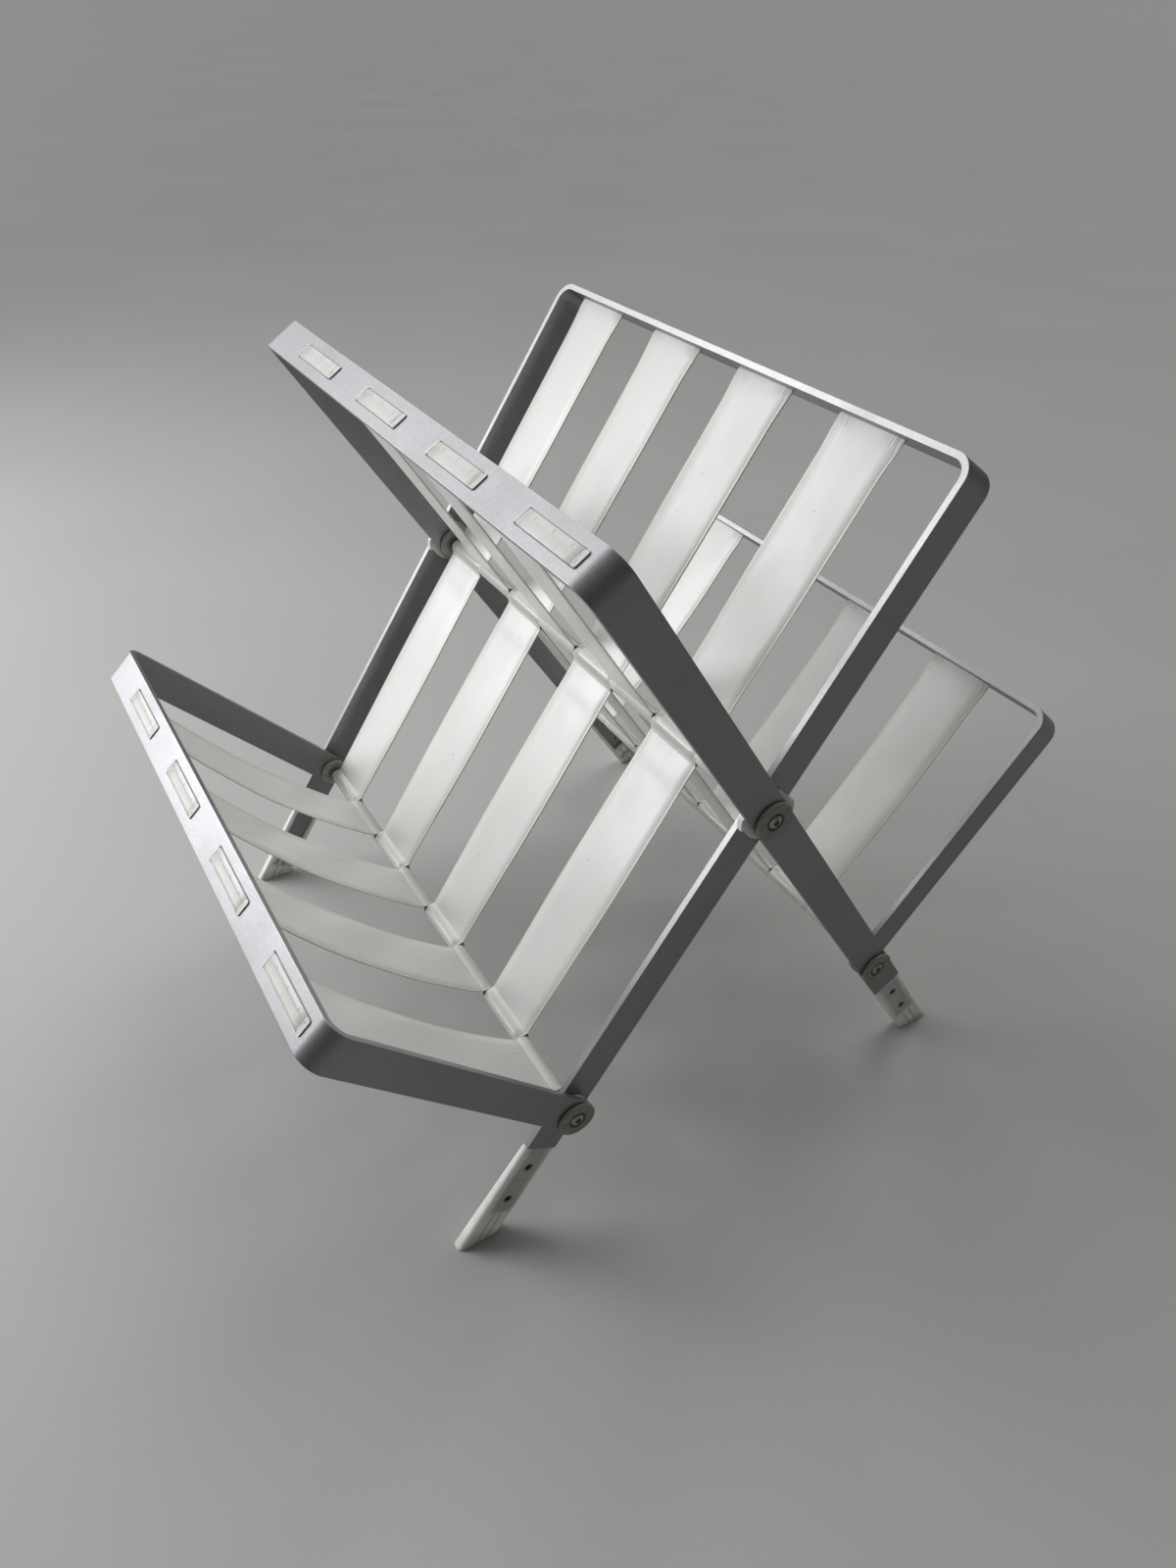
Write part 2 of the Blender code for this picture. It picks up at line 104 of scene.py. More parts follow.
# ------------------------------------------------------------------- materials
class Graph:
    """A Principled material with a few helpers for its pattern nodes."""

    def __init__(self, name, **fixed):
        self.mat = bpy.data.materials.new(name)
        self.mat.use_nodes = True
        self.tree = self.mat.node_tree
        self.tree.nodes.clear()
        self.out = self.tree.nodes.new("ShaderNodeOutputMaterial")
        self.shader = self.tree.nodes.new("ShaderNodeBsdfPrincipled")
        self.tree.links.new(self.shader.outputs[0], self.out.inputs[0])
        for k, v in fixed.items():
            self.shader.inputs[k.replace("_", " ")].default_value = v

    def put(self, kind, inputs=None, **props):
        n = self.tree.nodes.new("ShaderNode" + kind)
        for k, v in props.items():
            setattr(n, k, v)
        for k, v in (inputs or {}).items():
            self.feed(n.inputs[k], v)
        return n

    def feed(self, socket, v):
        if isinstance(v, bpy.types.NodeSocket):
            self.tree.links.new(v, socket)
        else:
            socket.default_value = v

    def coords(self):
        return self.put("TexCoord").outputs["Object"]

    def scaled(self, vec, s):
        return self.put("Mapping", {"Vector": vec, "Scale": s}).outputs[0]

    def noise(self, vec, scale, detail=2.0, rough=0.5, distort=0.0):
        return self.put("TexNoise", {"Vector": vec, "Scale": scale, "Detail": detail,
                                     "Roughness": rough, "Distortion": distort}).outputs["Fac"]

    def math(self, op, a, b=0.0, c=0.0, clamp=False):
        n = self.put("Math", operation=op, use_clamp=clamp)
        for i, v in enumerate((a, b, c)):
            self.feed(n.inputs[i], v)
        return n.outputs[0]

    def ramp(self, v, lo, hi, out_lo=0.0, out_hi=1.0, smooth=True):
        n = self.put("MapRange", {"Value": v, "From Min": lo, "From Max": hi,
                                  "To Min": out_lo, "To Max": out_hi})
        n.interpolation_type = "SMOOTHSTEP" if smooth else "LINEAR"
        return n.outputs[0]

    def mix(self, fac, a, b, mode="MIX"):
        n = self.put("Mix", data_type="RGBA", blend_type=mode)
        self.feed(n.inputs[0], fac)
        self.feed(n.inputs[6], a)
        self.feed(n.inputs[7], b)
        return n.outputs[2]

    def attribute(self, name):
        return self.put("Attribute", attribute_name=name, attribute_type="GEOMETRY").outputs["Fac"]

    def split(self, vec):
        return self.put("SeparateXYZ", {"Vector": vec}).outputs

    def join(self, x, y, z):
        return self.put("CombineXYZ", {"X": x, "Y": y, "Z": z}).outputs[0]

    def bump(self, height, strength, distance, normal=None):
        ins = {"Height": height, "Strength": strength, "Distance": distance}
        if normal is not None:
            ins["Normal"] = normal
        return self.put("Bump", ins).outputs[0]

    def set(self, **links):
        for k, v in links.items():
            self.feed(self.shader.inputs[k.replace("_", " ")], v)
        return self.mat


def rgb(r, g, b):
    return (r, g, b, 1.0)


def aluminium(name, tint=(0.285, 0.285, 0.292), rough=0.46, along_rod=False):
    """Bead-blasted and clear anodised: a fine frosted grain and faint handling
    smudges. The frames' narrow edge faces are painted lighter as a highlight;
    on the rod the same mix gives lighter random patches."""
    g = Graph(name, Metallic=1.0)
    p = g.coords()
    x, y, z = g.split(p)
    grain = g.noise(p, 2100.0, 2.0, 0.65)
    mottle = g.noise(p, 620.0, 3.0, 0.6)
    smudge = g.noise(p, 11.0, 3.0, 0.55, 0.4)
    streak = g.noise(g.scaled(p, (90.0, 90.0, 140.0) if not along_rod else (300.0, 300.0, 2.0)),
                     1.0, 3.0, 0.5)
    # painted highlight: edge masks the bar's narrow edge faces, which are painted lighter; on the rod it is
    # lighter random patches instead
    edge = g.ramp(g.math("ABSOLUTE", z), 0.01195, 0.01245)
    if along_rod:
        edge = g.ramp(g.noise(p, 90.0, 3.0), 0.6, 0.8, 0.0, 0.4)
    base = g.mix(g.ramp(mottle, 0.3, 0.7), rgb(*[c * 0.93 for c in tint]),
                 rgb(*[min(1.0, c * 1.07) for c in tint]))
    base = g.mix(g.ramp(smudge, 0.52, 0.8, 0.0, 0.35), base,
                 rgb(tint[0] * 0.87, tint[1] * 0.87, tint[2] * 0.84))
    # painted highlight mixed into the colour on the narrow edge faces
    base = g.mix(g.math("MULTIPLY", edge, 0.16), base, rgb(0.74, 0.74, 0.75))
    r = g.math("ADD", g.ramp(smudge, 0.3, 0.75, rough - 0.03, rough + 0.04),
               g.ramp(grain, 0.3, 0.7, -0.03, 0.03))
    r = g.math("ADD", r, g.ramp(streak, 0.45, 0.75, 0.0, 0.02))
    n = g.bump(grain, 0.34, 0.00010)
    n = g.bump(mottle, 0.05, 0.00014, n)
    return g.set(Base_Color=base, Roughness=r, Normal=n)


def band_material(name, seed):
    """Translucent white plastic band: fine draw lines along its length, welded
    edges a little thinner and yellowed, a few specks, satin gloss. The rod shows
    through greyer where the band is wrapped round it, and so does the keeper."""
    g = Graph(name, Subsurface_Weight=0.40, Subsurface_Scale=0.0016, IOR=1.47)
    g.shader.inputs["Subsurface Radius"].default_value = (1.0, 1.0, 1.0)
    across = g.attribute("across")          # mm from the band's middle line
    along = g.attribute("along")            # mm along the band
    rim = g.attribute("rim")                # mm from the nearer edge
    slot = g.attribute("slot")              # 1 where it is pinched by the slot
    wrap = g.attribute("wrap")              # 1 where it lies on a rod
    lid = g.attribute("lid")                # 1 on top of the keeper
    p = g.coords()
    z = g.split(p)[2]
    flow = g.join(g.math("MULTIPLY", along, 0.011), g.math("MULTIPLY", across, 0.9), seed)
    lines = g.noise(flow, 1.0, 3.0, 0.6)
    cloud = g.noise(g.join(g.math("MULTIPLY", along, 0.018), g.math("MULTIPLY", across, 0.03), seed + 4.0),
                    1.0, 3.0, 0.55)
    fine = g.noise(p, 1500.0, 2.0, 0.5)
    hem = g.ramp(rim, 2.25, 2.6, 1.0, 0.0)
    # painted shadow: a darker line along the step where the thinner edge strip meets the band
    step_shadow = g.math("MULTIPLY", g.ramp(rim, 2.10, 2.40), g.ramp(rim, 2.80, 2.45))
    yellow = g.math("MULTIPLY", g.ramp(rim, 1.5, 0.1), g.ramp(cloud, 0.30, 0.68, 0.35, 1.0))
    speck = g.ramp(g.noise(p, 390.0, 0.0, 0.5), 0.855, 0.885)
    base = g.mix(g.ramp(cloud, 0.35, 0.7), rgb(0.825, 0.820, 0.800), rgb(0.780, 0.773, 0.742))
    base = g.mix(g.ramp(lines, 0.35, 0.75, 0.0, 0.25), base, rgb(0.76, 0.755, 0.725))
    base = g.mix(g.math("MULTIPLY", wrap, 0.75), base, rgb(0.47, 0.465, 0.44))
    base = g.mix(g.math("MULTIPLY", hem, 0.35), base, rgb(0.74, 0.74, 0.71))
    base = g.mix(g.math("MULTIPLY", step_shadow, 0.40), base, rgb(0.53, 0.52, 0.48))
    base = g.mix(g.math("MULTIPLY", yellow, 0.62), base, rgb(0.78, 0.72, 0.55))
    base = g.mix(g.math("MULTIPLY", speck, 0.7), base, rgb(0.30, 0.22, 0.13))
    pinch = g.math("SINE", g.math("ADD", g.math("MULTIPLY", across, 2.6),
                                  g.math("MULTIPLY", g.noise(g.join(across, 0.0, seed), 0.35), 9.0)))
    pinch = g.math("MULTIPLY", pinch, slot)
    # painted shade: darker stripes on the wrinkles where the slot gathers the band
    base = g.mix(g.math("MULTIPLY", g.ramp(pinch, 0.45, 0.95), 0.30), base, rgb(0.42, 0.41, 0.38))
    # a darker middle strip on the band's top over the keeper, and short dark ticks at three places across it:
    # painted shade in the band's fold wrinkles
    middle_zone = g.math("MULTIPLY", g.ramp(z, -0.0024, -0.0017), g.ramp(z, 0.0018, 0.0011))
    wob = g.math("MULTIPLY", g.math("SUBTRACT", g.noise(g.join(across, seed, 0.0), 0.6), 0.5), 0.8)
    step = g.math("ABSOLUTE", g.math("SUBTRACT", g.math("FRACT", g.math("ADD", g.math(
        "DIVIDE", g.math("ADD", across, wob), 16.5), 10.5)), 0.5))
    tick = g.ramp(step, 0.034, 0.012)
    tick = g.math("MULTIPLY", tick, g.ramp(rim, 3.0, 5.0))
    sided = g.math("MULTIPLY", g.ramp(z, -0.0042, -0.0034), g.ramp(z, -0.0004, -0.0018))
    dots = g.math("MULTIPLY", g.ramp(z, 0.0014, 0.0018), g.ramp(z, 0.0028, 0.0022))
    tick = g.math("MULTIPLY", tick, g.math("ADD", sided, g.math("MULTIPLY", dots, 0.8), clamp=True))
    base = g.mix(g.math("MULTIPLY", lid, 0.78), base, rgb(0.52, 0.515, 0.485))
    base = g.mix(g.math("MULTIPLY", g.math("MULTIPLY", lid, middle_zone), 0.35), base, rgb(0.50, 0.50, 0.50))
    base = g.mix(g.math("MULTIPLY", g.math("MULTIPLY", lid, tick), 0.60), base, rgb(0.30, 0.29, 0.27))
    r = g.math("ADD", g.ramp(cloud, 0.3, 0.75, 0.29, 0.37), g.ramp(lines, 0.3, 0.8, -0.03, 0.05))
    r = g.math("SUBTRACT", r, g.math("MULTIPLY", wrap, 0.13))
    n = g.bump(lines, 0.14, 0.00018)
    n = g.bump(fine, 0.06, 0.00010, n)
    n = g.bump(pinch, 0.55, 0.00030, n)
    n = g.bump(g.math("MULTIPLY", lid, tick), 0.6, -0.00015, n)
    return g.set(Base_Color=base, Roughness=r, Normal=n)


def keeper_material():
    """Clear-white extruded strip, milky inside."""
    g = Graph("keeper_strip", Transmission_Weight=0.35, IOR=1.49, Subsurface_Weight=0.2,
              Subsurface_Scale=0.0015)
    p = g.coords()
    cloud = g.noise(p, 60.0, 3.0)
    base = g.mix(cloud, rgb(0.83, 0.84, 0.82), rgb(0.74, 0.74, 0.70))
    lines = g.noise(g.scaled(p, (700.0, 12.0, 700.0)), 1.0, 2.0)
    return g.set(Base_Color=base, Roughness=g.ramp(cloud, 0.3, 0.7, 0.22, 0.34),
                 Normal=g.bump(lines, 0.12, 0.00015))


def shoe_material(name, side_sign):
    """Milky moulded plastic. The thinned aluminium tongue lies behind the outer
    wall and darkens it, and the ribs of the hollow end show as lighter bands."""
    g = Graph(name, Subsurface_Weight=0.55, Subsurface_Scale=0.0045, IOR=1.49)
    g.shader.inputs["Subsurface Radius"].default_value = (1.0, 0.98, 0.94)
    p = g.coords()
    x, y, z = g.split(p)
    az = g.math("ABSOLUTE", z)
    wobble = g.math("MULTIPLY", g.math("SUBTRACT", g.noise(p, 90.0, 3.0), 0.5), 0.0030)
    on_width = g.ramp(g.math("ADD", az, wobble), 0.0098, 0.0062)
    on_length = g.ramp(g.math("ADD", x, wobble), -0.3275, -0.3225)
    tongue = g.math("MULTIPLY", on_width, on_length)
    cloud = g.noise(p, 42.0, 4.0, 0.6)
    # lighter bands of the hollow end, between its ribs
    rib = g.math("ABSOLUTE", g.math("SUBTRACT", az, 0.0029))
    rib = g.ramp(rib, 0.0011, 0.0004)
    low = g.ramp(x, -0.3250, -0.3290)
    ribs = g.math("MULTIPLY", rib, low)
    base = g.mix(g.ramp(cloud, 0.35, 0.7), rgb(0.89, 0.89, 0.87), rgb(0.82, 0.81, 0.775))
    flow = g.noise(g.scaled(p, (9.0, 420.0, 420.0)), 1.0, 3.0, 0.55)
    base = g.mix(g.math("MULTIPLY", tongue, g.ramp(cloud, 0.2, 0.8, 0.50, 0.80)), base,
                 rgb(0.39, 0.37, 0.32))
    base = g.mix(g.math("MULTIPLY", ribs, 0.70), base, rgb(0.47, 0.45, 0.40))
    base = g.mix(g.ramp(flow, 0.48, 0.66, 0.0, 0.30), base, rgb(0.60, 0.595, 0.565))
    # painted shade: a dark halo in and round the screw holes
    for d in FOOT_HOLES:
        dx = g.math("ADD", x, d * MM)
        rr = g.math("SQRT", g.math("ADD", g.math("MULTIPLY", dx, dx), g.math("MULTIPLY", z, z)))
        base = g.mix(g.ramp(rr, 0.0046, 0.0027, 0.0, 0.45), base, rgb(0.22, 0.20, 0.16))
    grit = g.ramp(g.noise(p, 420.0, 2.0), 0.66, 0.74)
    sole = g.ramp(g.math("ADD", x, g.math("MULTIPLY", g.noise(p, 200.0), 0.004)), -0.343, -0.352)
    base = g.mix(g.math("MULTIPLY", sole, 0.35), base, rgb(0.50, 0.45, 0.36))
    base = g.mix(g.math("MULTIPLY", grit, 0.25), base, rgb(0.40, 0.37, 0.30))
    n = g.bump(g.noise(p, 520.0, 2.0), 0.10, 0.00018)
    n = g.bump(flow, 0.30, 0.00030, n)
    return g.set(Base_Color=base, Roughness=g.ramp(cloud, 0.25, 0.75, 0.17, 0.30), Normal=n)


def spacer_material():
    g = Graph("spacer_milky", Subsurface_Weight=0.12, Subsurface_Scale=0.001, IOR=1.49)
    p = g.coords()
    cloud = g.noise(p, 110.0, 4.0, 0.6)
    base = g.mix(g.ramp(cloud, 0.3, 0.7), rgb(0.80, 0.80, 0.77), rgb(0.64, 0.63, 0.58))
    grime = g.ramp(g.noise(p, 260.0, 3.0), 0.60, 0.74)
    base = g.mix(g.math("MULTIPLY", grime, 0.4), base, rgb(0.25, 0.23, 0.19))
    return g.set(Base_Color=base, Roughness=g.ramp(cloud, 0.3, 0.7, 0.28, 0.42),
                 Normal=g.bump(g.noise(p, 600.0), 0.1, 0.0002))


def turned_plastic(name, light, dark, rough=0.5):
    """Moulded disc, with faint rings from its mould and a cloudy tone. Its rounded rim is painted lighter as a
    highlight, and its middle round the bore darker as shade.
    """
    g = Graph(name, IOR=1.48)
    p = g.coords()
    x, y, z = g.split(p)
    rr = g.math("SQRT", g.math("ADD", g.math("MULTIPLY", x, x), g.math("MULTIPLY", y, y)))
    rings = g.math("SINE", g.math("MULTIPLY", rr, 9500.0))
    cloud = g.noise(p, 150.0, 4.0, 0.6)
    fine = g.noise(p, 1300.0, 2.0)
    base = g.mix(g.ramp(cloud, 0.3, 0.72), rgb(*light), rgb(*dark))
    # painted highlight: the rounded outer rim is lighter
    base = g.mix(g.ramp(rr, 0.0121, 0.0130, 0.0, 0.35), base, rgb(*[min(1.0, c * 1.35) for c in light]))
    # painted shade: darker in the recess round the bore
    base = g.mix(g.ramp(rr, 0.0072, 0.0058, 0.0, 0.55), base, rgb(*[c * 0.45 for c in dark]))
    r = g.math("ADD", g.ramp(cloud, 0.3, 0.7, rough - 0.06, rough + 0.08),
               g.ramp(fine, 0.3, 0.7, -0.02, 0.03))
    n = g.bump(rings, 0.05, 0.00012)
    n = g.bump(fine, 0.12, 0.00012, n)
    return g.set(Base_Color=base, Roughness=r, Normal=n)


def screw_metal(name, tint, rough, metal=1.0):
    g = Graph(name, Metallic=metal)
    p = g.coords()
    x, y, z = g.split(p)
    rr = g.math("SQRT", g.math("ADD", g.math("MULTIPLY", x, x), g.math("MULTIPLY", y, y)))
    rings = g.math("SINE", g.math("MULTIPLY", rr, 16000.0))
    cloud = g.noise(p, 420.0, 4.0, 0.6)
    base = g.mix(g.ramp(cloud, 0.35, 0.7), rgb(*tint), rgb(*[c * 0.62 for c in tint]))
    return g.set(Base_Color=base, Roughness=g.ramp(cloud, 0.3, 0.7, rough - 0.05, rough + 0.12),
                 Normal=g.bump(rings, 0.08, 0.00008))


def floor_material():
    g = Graph("studio_floor", IOR=1.45)
    p = g.coords()
    cloud = g.noise(p, 2.2, 4.0, 0.55)
    fine = g.noise(p, 240.0, 3.0, 0.6)
    base = g.mix(g.ramp(cloud, 0.3, 0.7), rgb(0.362, 0.360, 0.350), rgb(0.384, 0.382, 0.372))
    base = g.mix(g.ramp(fine, 0.35, 0.75, 0.0, 0.25), base, rgb(0.346, 0.344, 0.333))
    return g.set(Base_Color=base, Roughness=g.ramp(cloud, 0.3, 0.7, 0.62, 0.72),
                 Normal=g.bump(fine, 0.05, 0.0006))


ALU = aluminium("anodised_aluminium")
ALU_ROD = aluminium("rod_aluminium", (0.55, 0.55, 0.56), 0.30, True)
KEEPER = keeper_material()
SPACER = spacer_material()
DISC = turned_plastic("disc_grey", (0.285, 0.275, 0.235), (0.215, 0.207, 0.175))
WASHER = turned_plastic("washer_grey", (0.40, 0.385, 0.33), (0.30, 0.285, 0.24), 0.42)
STEEL = screw_metal("screw_steel", (0.40, 0.395, 0.37), 0.26)
BLACK = screw_metal("screw_black", (0.030, 0.029, 0.027), 0.38, 0.7)


# -------------------------------------------------------------- mesh helpers
def mesh_object(name, mesh, mat, place=None):
    ob = bpy.data.objects.new(name, mesh)
    if mat is not None:
        mesh.materials.clear()
        mesh.materials.append(mat)
    bpy.context.scene.collection.objects.link(ob)
    if place is not None:
        ob.matrix_world = place
    return ob


def bm_to_mesh(bm, name, angle=35.0):
    bmesh.ops.recalc_face_normals(bm, faces=bm.faces)
    mesh = bpy.data.meshes.new(name)
    bm.to_mesh(mesh)
    bm.free()
    mesh.shade_smooth()
    mesh.set_sharp_from_angle(angle=RAD(angle))
    return mesh


def arc(cx, cy, r, a0, a1, n):
    return [(cx + r * math.cos(RAD(a0 + (a1 - a0) * k / n)),
             cy + r * math.sin(RAD(a0 + (a1 - a0) * k / n))) for k in range(n + 1)]


def fillet(points, radii, seg=4, closed=True):
    """The outline again with its corners rounded; radii is a number or one per point."""
    n = len(points)
    out = []
    for i, p in enumerate(points):
        r = radii[i] if hasattr(radii, "__len__") else radii
        if r <= 0.0 or (not closed and i in (0, n - 1)):
            out.append(p)
            continue
        a, b = Vector(points[i - 1]), Vector(points[(i + 1) % n])
        c = Vector(p)
        d1, d2 = (a - c), (b - c)
        l1, l2 = d1.length, d2.length
        d1.normalize()
        d2.normalize()
        half = math.acos(max(-1.0, min(1.0, d1.dot(d2)))) / 2
        if half > RAD(88.0) or half < RAD(2.0):
            out.append(p)
            continue
        cut = min(r / math.tan(half), 0.49 * l1, 0.49 * l2)
        rr = cut * math.tan(half)
        mid = c + (d1 + d2).normalized() * (rr / math.sin(half))
        s, e = c + d1 * cut - mid, c + d2 * cut - mid
        sweep = math.atan2(s.x * e.y - s.y * e.x, s.dot(e))
        for k in range(seg + 1):
            t = sweep * k / seg
            out.append((mid.x + s.x * math.cos(t) - s.y * math.sin(t),
                        mid.y + s.x * math.sin(t) + s.y * math.cos(t)))
    return out


def prism(name, outline, z0, z1, axis="Z"):
    """An outline in mm thickened from z0 to z1 along the given local axis.
    For axis Z the outline is (x, y), for Y it is (x, z) and for X it is (y, z)."""
    order = {"Z": lambda a, b, c: (a, b, c), "Y": lambda a, b, c: (a, c, b),
             "X": lambda a, b, c: (c, a, b)}[axis]
    bm = bmesh.new()
    low = [bm.verts.new([v * MM for v in order(x, y, z0)]) for x, y in outline]
    high = [bm.verts.new([v * MM for v in order(x, y, z1)]) for x, y in outline]
    bm.faces.new(low)
    bm.faces.new(high)
    m = len(outline)
    for i in range(m):
        j = (i + 1) % m
        bm.faces.new((low[i], low[j], high[j], high[i]))
    return bm


def joined(name, parts):
    """Several closed solids in one mesh, used as one cutter."""
    bm = bmesh.new()
    for part in parts:
        part_mesh = bpy.data.meshes.new(name)
        part.to_mesh(part_mesh)
        part.free()
        bm.from_mesh(part_mesh)
        bpy.data.meshes.remove(part_mesh)
    bmesh.ops.recalc_face_normals(bm, faces=bm.faces)
    mesh = bpy.data.meshes.new(name)
    bm.to_mesh(mesh)
    bm.free()
    return mesh


def carved(name, base, cuts, bevel, mat, place, segments=2, angle=33.0, keep=None):
    """The base solid less its cutters, with its edges rounded, as one finished mesh."""
    bmesh.ops.recalc_face_normals(base, faces=base.faces)
    mesh = bpy.data.meshes.new(name)
    base.to_mesh(mesh)
    base.free()
    ob = mesh_object(name, mesh, mat)
    helpers = []
    for i, (op, cutter) in enumerate(cuts):
        c = bpy.data.objects.new("%s_cutter_%d" % (name, i), cutter)
        bpy.context.scene.collection.objects.link(c)
        helpers.append(c)
        mod = ob.modifiers.new("cut", "BOOLEAN")
        mod.operation, mod.solver, mod.object = op, "EXACT", c
    if bevel > 0.0:
        mod = ob.modifiers.new("edges", "BEVEL")
        mod.width = bevel * MM
        mod.segments = segments
        mod.limit_method = "ANGLE"
        mod.angle_limit = RAD(angle)
        mod.use_clamp_overlap = True
        mod.miter_outer = "MITER_ARC"
        mod.harden_normals = False
    bpy.context.view_layer.update()
    graph = bpy.context.evaluated_depsgraph_get()
    made = bpy.data.meshes.new_from_object(ob.evaluated_get(graph))
    for c in helpers:
        data = c.data
        bpy.data.objects.remove(c, do_unlink=True)
        bpy.data.meshes.remove(data)
    bpy.data.objects.remove(ob, do_unlink=True)
    bm = bmesh.new()
    bm.from_mesh(made)
    bmesh.ops.remove_doubles(bm, verts=bm.verts, dist=0.000002)
    bmesh.ops.dissolve_degenerate(bm, edges=bm.edges, dist=0.000002)
    bm.to_mesh(made)
    bm.free()
    made.name = name
    made.shade_smooth()
    made.set_sharp_from_angle(angle=RAD(50.0))
    done = mesh_object(name, made, mat, place)
    mod = done.modifiers.new("weighted", "WEIGHTED_NORMAL")
    mod.keep_sharp = True
    mod.weight = 60
    return done


def turned(name, profile, steps, mat, place, angle=32.0):
    """A profile of (radius, height) in mm turned about local Z. It is closed
    unless it starts and ends on the axis."""
    bm = bmesh.new()
    rings = []
    for r, z in profile:
        if r < 1e-6:
            rings.append([bm.verts.new((0.0, 0.0, z * MM))])
        else:
            rings.append([bm.verts.new((r * MM * math.cos(2 * math.pi * k / steps),
                                        r * MM * math.sin(2 * math.pi * k / steps), z * MM))
                          for k in range(steps)])
    pairs = list(zip(rings, rings[1:]))
    if profile[0][0] > 1e-6:
        pairs.append((rings[-1], rings[0]))
    for a, b in pairs:
        for k in range(steps):
            j = (k + 1) % steps
            if len(a) == 1 and len(b) == 1:
                continue
            if len(a) == 1:
                bm.faces.new((a[0], b[k], b[j]))
            elif len(b) == 1:
                bm.faces.new((a[k], a[j], b[0]))
            else:
                bm.faces.new((a[k], a[j], b[j], b[k]))
    return mesh_object(name, bm_to_mesh(bm, name, angle), mat, place)


def hexagon(flat, turn=0.0):
    r = flat / math.sqrt(3.0)
    return [(r * math.cos(RAD(60 * k + turn)), r * math.sin(RAD(60 * k + turn))) for k in range(6)]


def finish_piece(ob, node, body):
    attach(ob, body)
    if node:
        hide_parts(node)
    return ob


def circle(r, n):
    return [(r * math.cos(2 * math.pi * k / n), r * math.sin(2 * math.pi * k / n)) for k in range(n)]


def drill(x, z, r, y0, y1, n=40):
    return prism("drill", [(x + a, z + b) for a, b in circle(r, n)], y0, y1, "Y")


def block(x0, x1, y0, y1, z0, z1):
    return prism("block", [(x0, y0), (x1, y0), (x1, y1), (x0, y1)], z0, z1, "Z")


# ------------------------------------------------------------------- frames
def u_outline(top, low, seg=22):
    inner = BEND_R - BAR_T
    pts = [(low, -H)]
    pts += arc(top - BEND_R, -H + BEND_R, BEND_R, -90, 0, seg)
    pts += arc(top - BEND_R, H - BEND_R, BEND_R, 0, 90, seg)
    pts += [(low, H), (low, HI)]
    pts += arc(top - BEND_R, H - BEND_R, inner, 90, 0, seg)
    pts += arc(top - BEND_R, -H + BEND_R, inner, 0, -90, seg)
    pts += [(low, -HI)]
    return pts


def windows(top):
    recess, slots = [], []
    for y in STRAP_Y:
        box = [(y - WINDOW_L / 2, -WINDOW_H / 2), (y + WINDOW_L / 2, -WINDOW_H / 2),
               (y + WINDOW_L / 2, WINDOW_H / 2), (y - WINDOW_L / 2, WINDOW_H / 2)]
        recess.append(prism("recess", fillet(box, 1.7, 5), top - WINDOW_D, top + 5, "X"))
        hole = [(y - SLOT_L / 2, -SLOT_H / 2), (y + SLOT_L / 2, -SLOT_H / 2),
                (y + SLOT_L / 2, SLOT_H / 2), (y - SLOT_L / 2, SLOT_H / 2)]
        slots.append(prism("slot", fillet(hole, 0.8, 3), top - 9, top - 1, "X"))
    return [("DIFFERENCE", joined("recesses", recess)), ("DIFFERENCE", joined("slots", slots))]


def long_frame(name, key):
    base = prism(name, u_outline(LONG_TOP, -TONGUE_END), -BAR_W / 2, BAR_W / 2, "Z")
    cuts = windows(LONG_TOP)
    side = BAR_W / 2 + 4
    thin = []
    for s in (-1, 1):
        a, b = sorted((s * (HI + TONGUE_T), s * (H + 6)))
        thin.append(block(-TONGUE_END - 6, -LEG_END, a, b, -side, side))
    cuts.append(("DIFFERENCE", joined("tongue_faces", thin)))
    flank = [block(-TONGUE_END - 7, -LEG_END, -H - 7, H + 7, TONGUE_W / 2, side + 1),
             block(-TONGUE_END - 7, -LEG_END, -H - 7, H + 7, -side - 1, -TONGUE_W / 2)]
    cuts.append(("DIFFERENCE", joined("tongue_flanks", flank)))
    holes = [drill(u, 0, BORE_R, s * H - 9, s * H + 9, 44) for u in (0.0, -LEG_TO_SIDE) for s in (-1, 1)]
    holes += [drill(-d, 0, FOOT_SHANK_R + GAP, s * H - 9, s * H + 9, 20)
              for d in FOOT_HOLES for s in (-1, 1)]
    cuts.append(("DIFFERENCE", joined("holes", holes)))
    ob = carved(name + "_finish", base, cuts, 0.42, ALU, STAND[key], 3)
    return finish_piece(ob, name, BODY[key])


def wing_frame(name, key):
    r = BAR_W / 2
    base = prism(name, u_outline(WING_TOP, -r - 4), -r, r, "Z")
    outline = arc(0, 0, r, 90, 270, 36) + [(WING_TOP + 9, -r - 0.001), (WING_TOP + 9, r + 0.001)]
    cuts = [("INTERSECT", joined("ends", [prism("end", outline, -H - 9, H + 9, "Y")]))]
    cuts += windows(WING_TOP)
    cuts.append(("DIFFERENCE", joined("bores", [drill(0.0, 0, BORE_R, s * H - 9, s * H + 9, 44)
                                                for s in (-1, 1)])))
    ob = carved(name + "_finish", base, cuts, 0.42, ALU, STAND[key], 3)
    return finish_piece(ob, name, BODY[key])


long_frame("cross_frame_a", "a")
long_frame("cross_frame_b", "b")
wing_frame("wing_frame_left", "left")
wing_frame("wing_frame_right", "right")


# ------------------------------------------------------------------- bands
def smooth(a, b, x):
    t = min(1.0, max(0.0, (x - a) / (b - a)))
    return t * t * (3 - 2 * t)


NEAR_GAP = 0.33
PINCH = 7.0                           # where the layers are welded, from a rod's axis
SLACK = 0.28                          # a loop hangs this much off its rod, toward its band


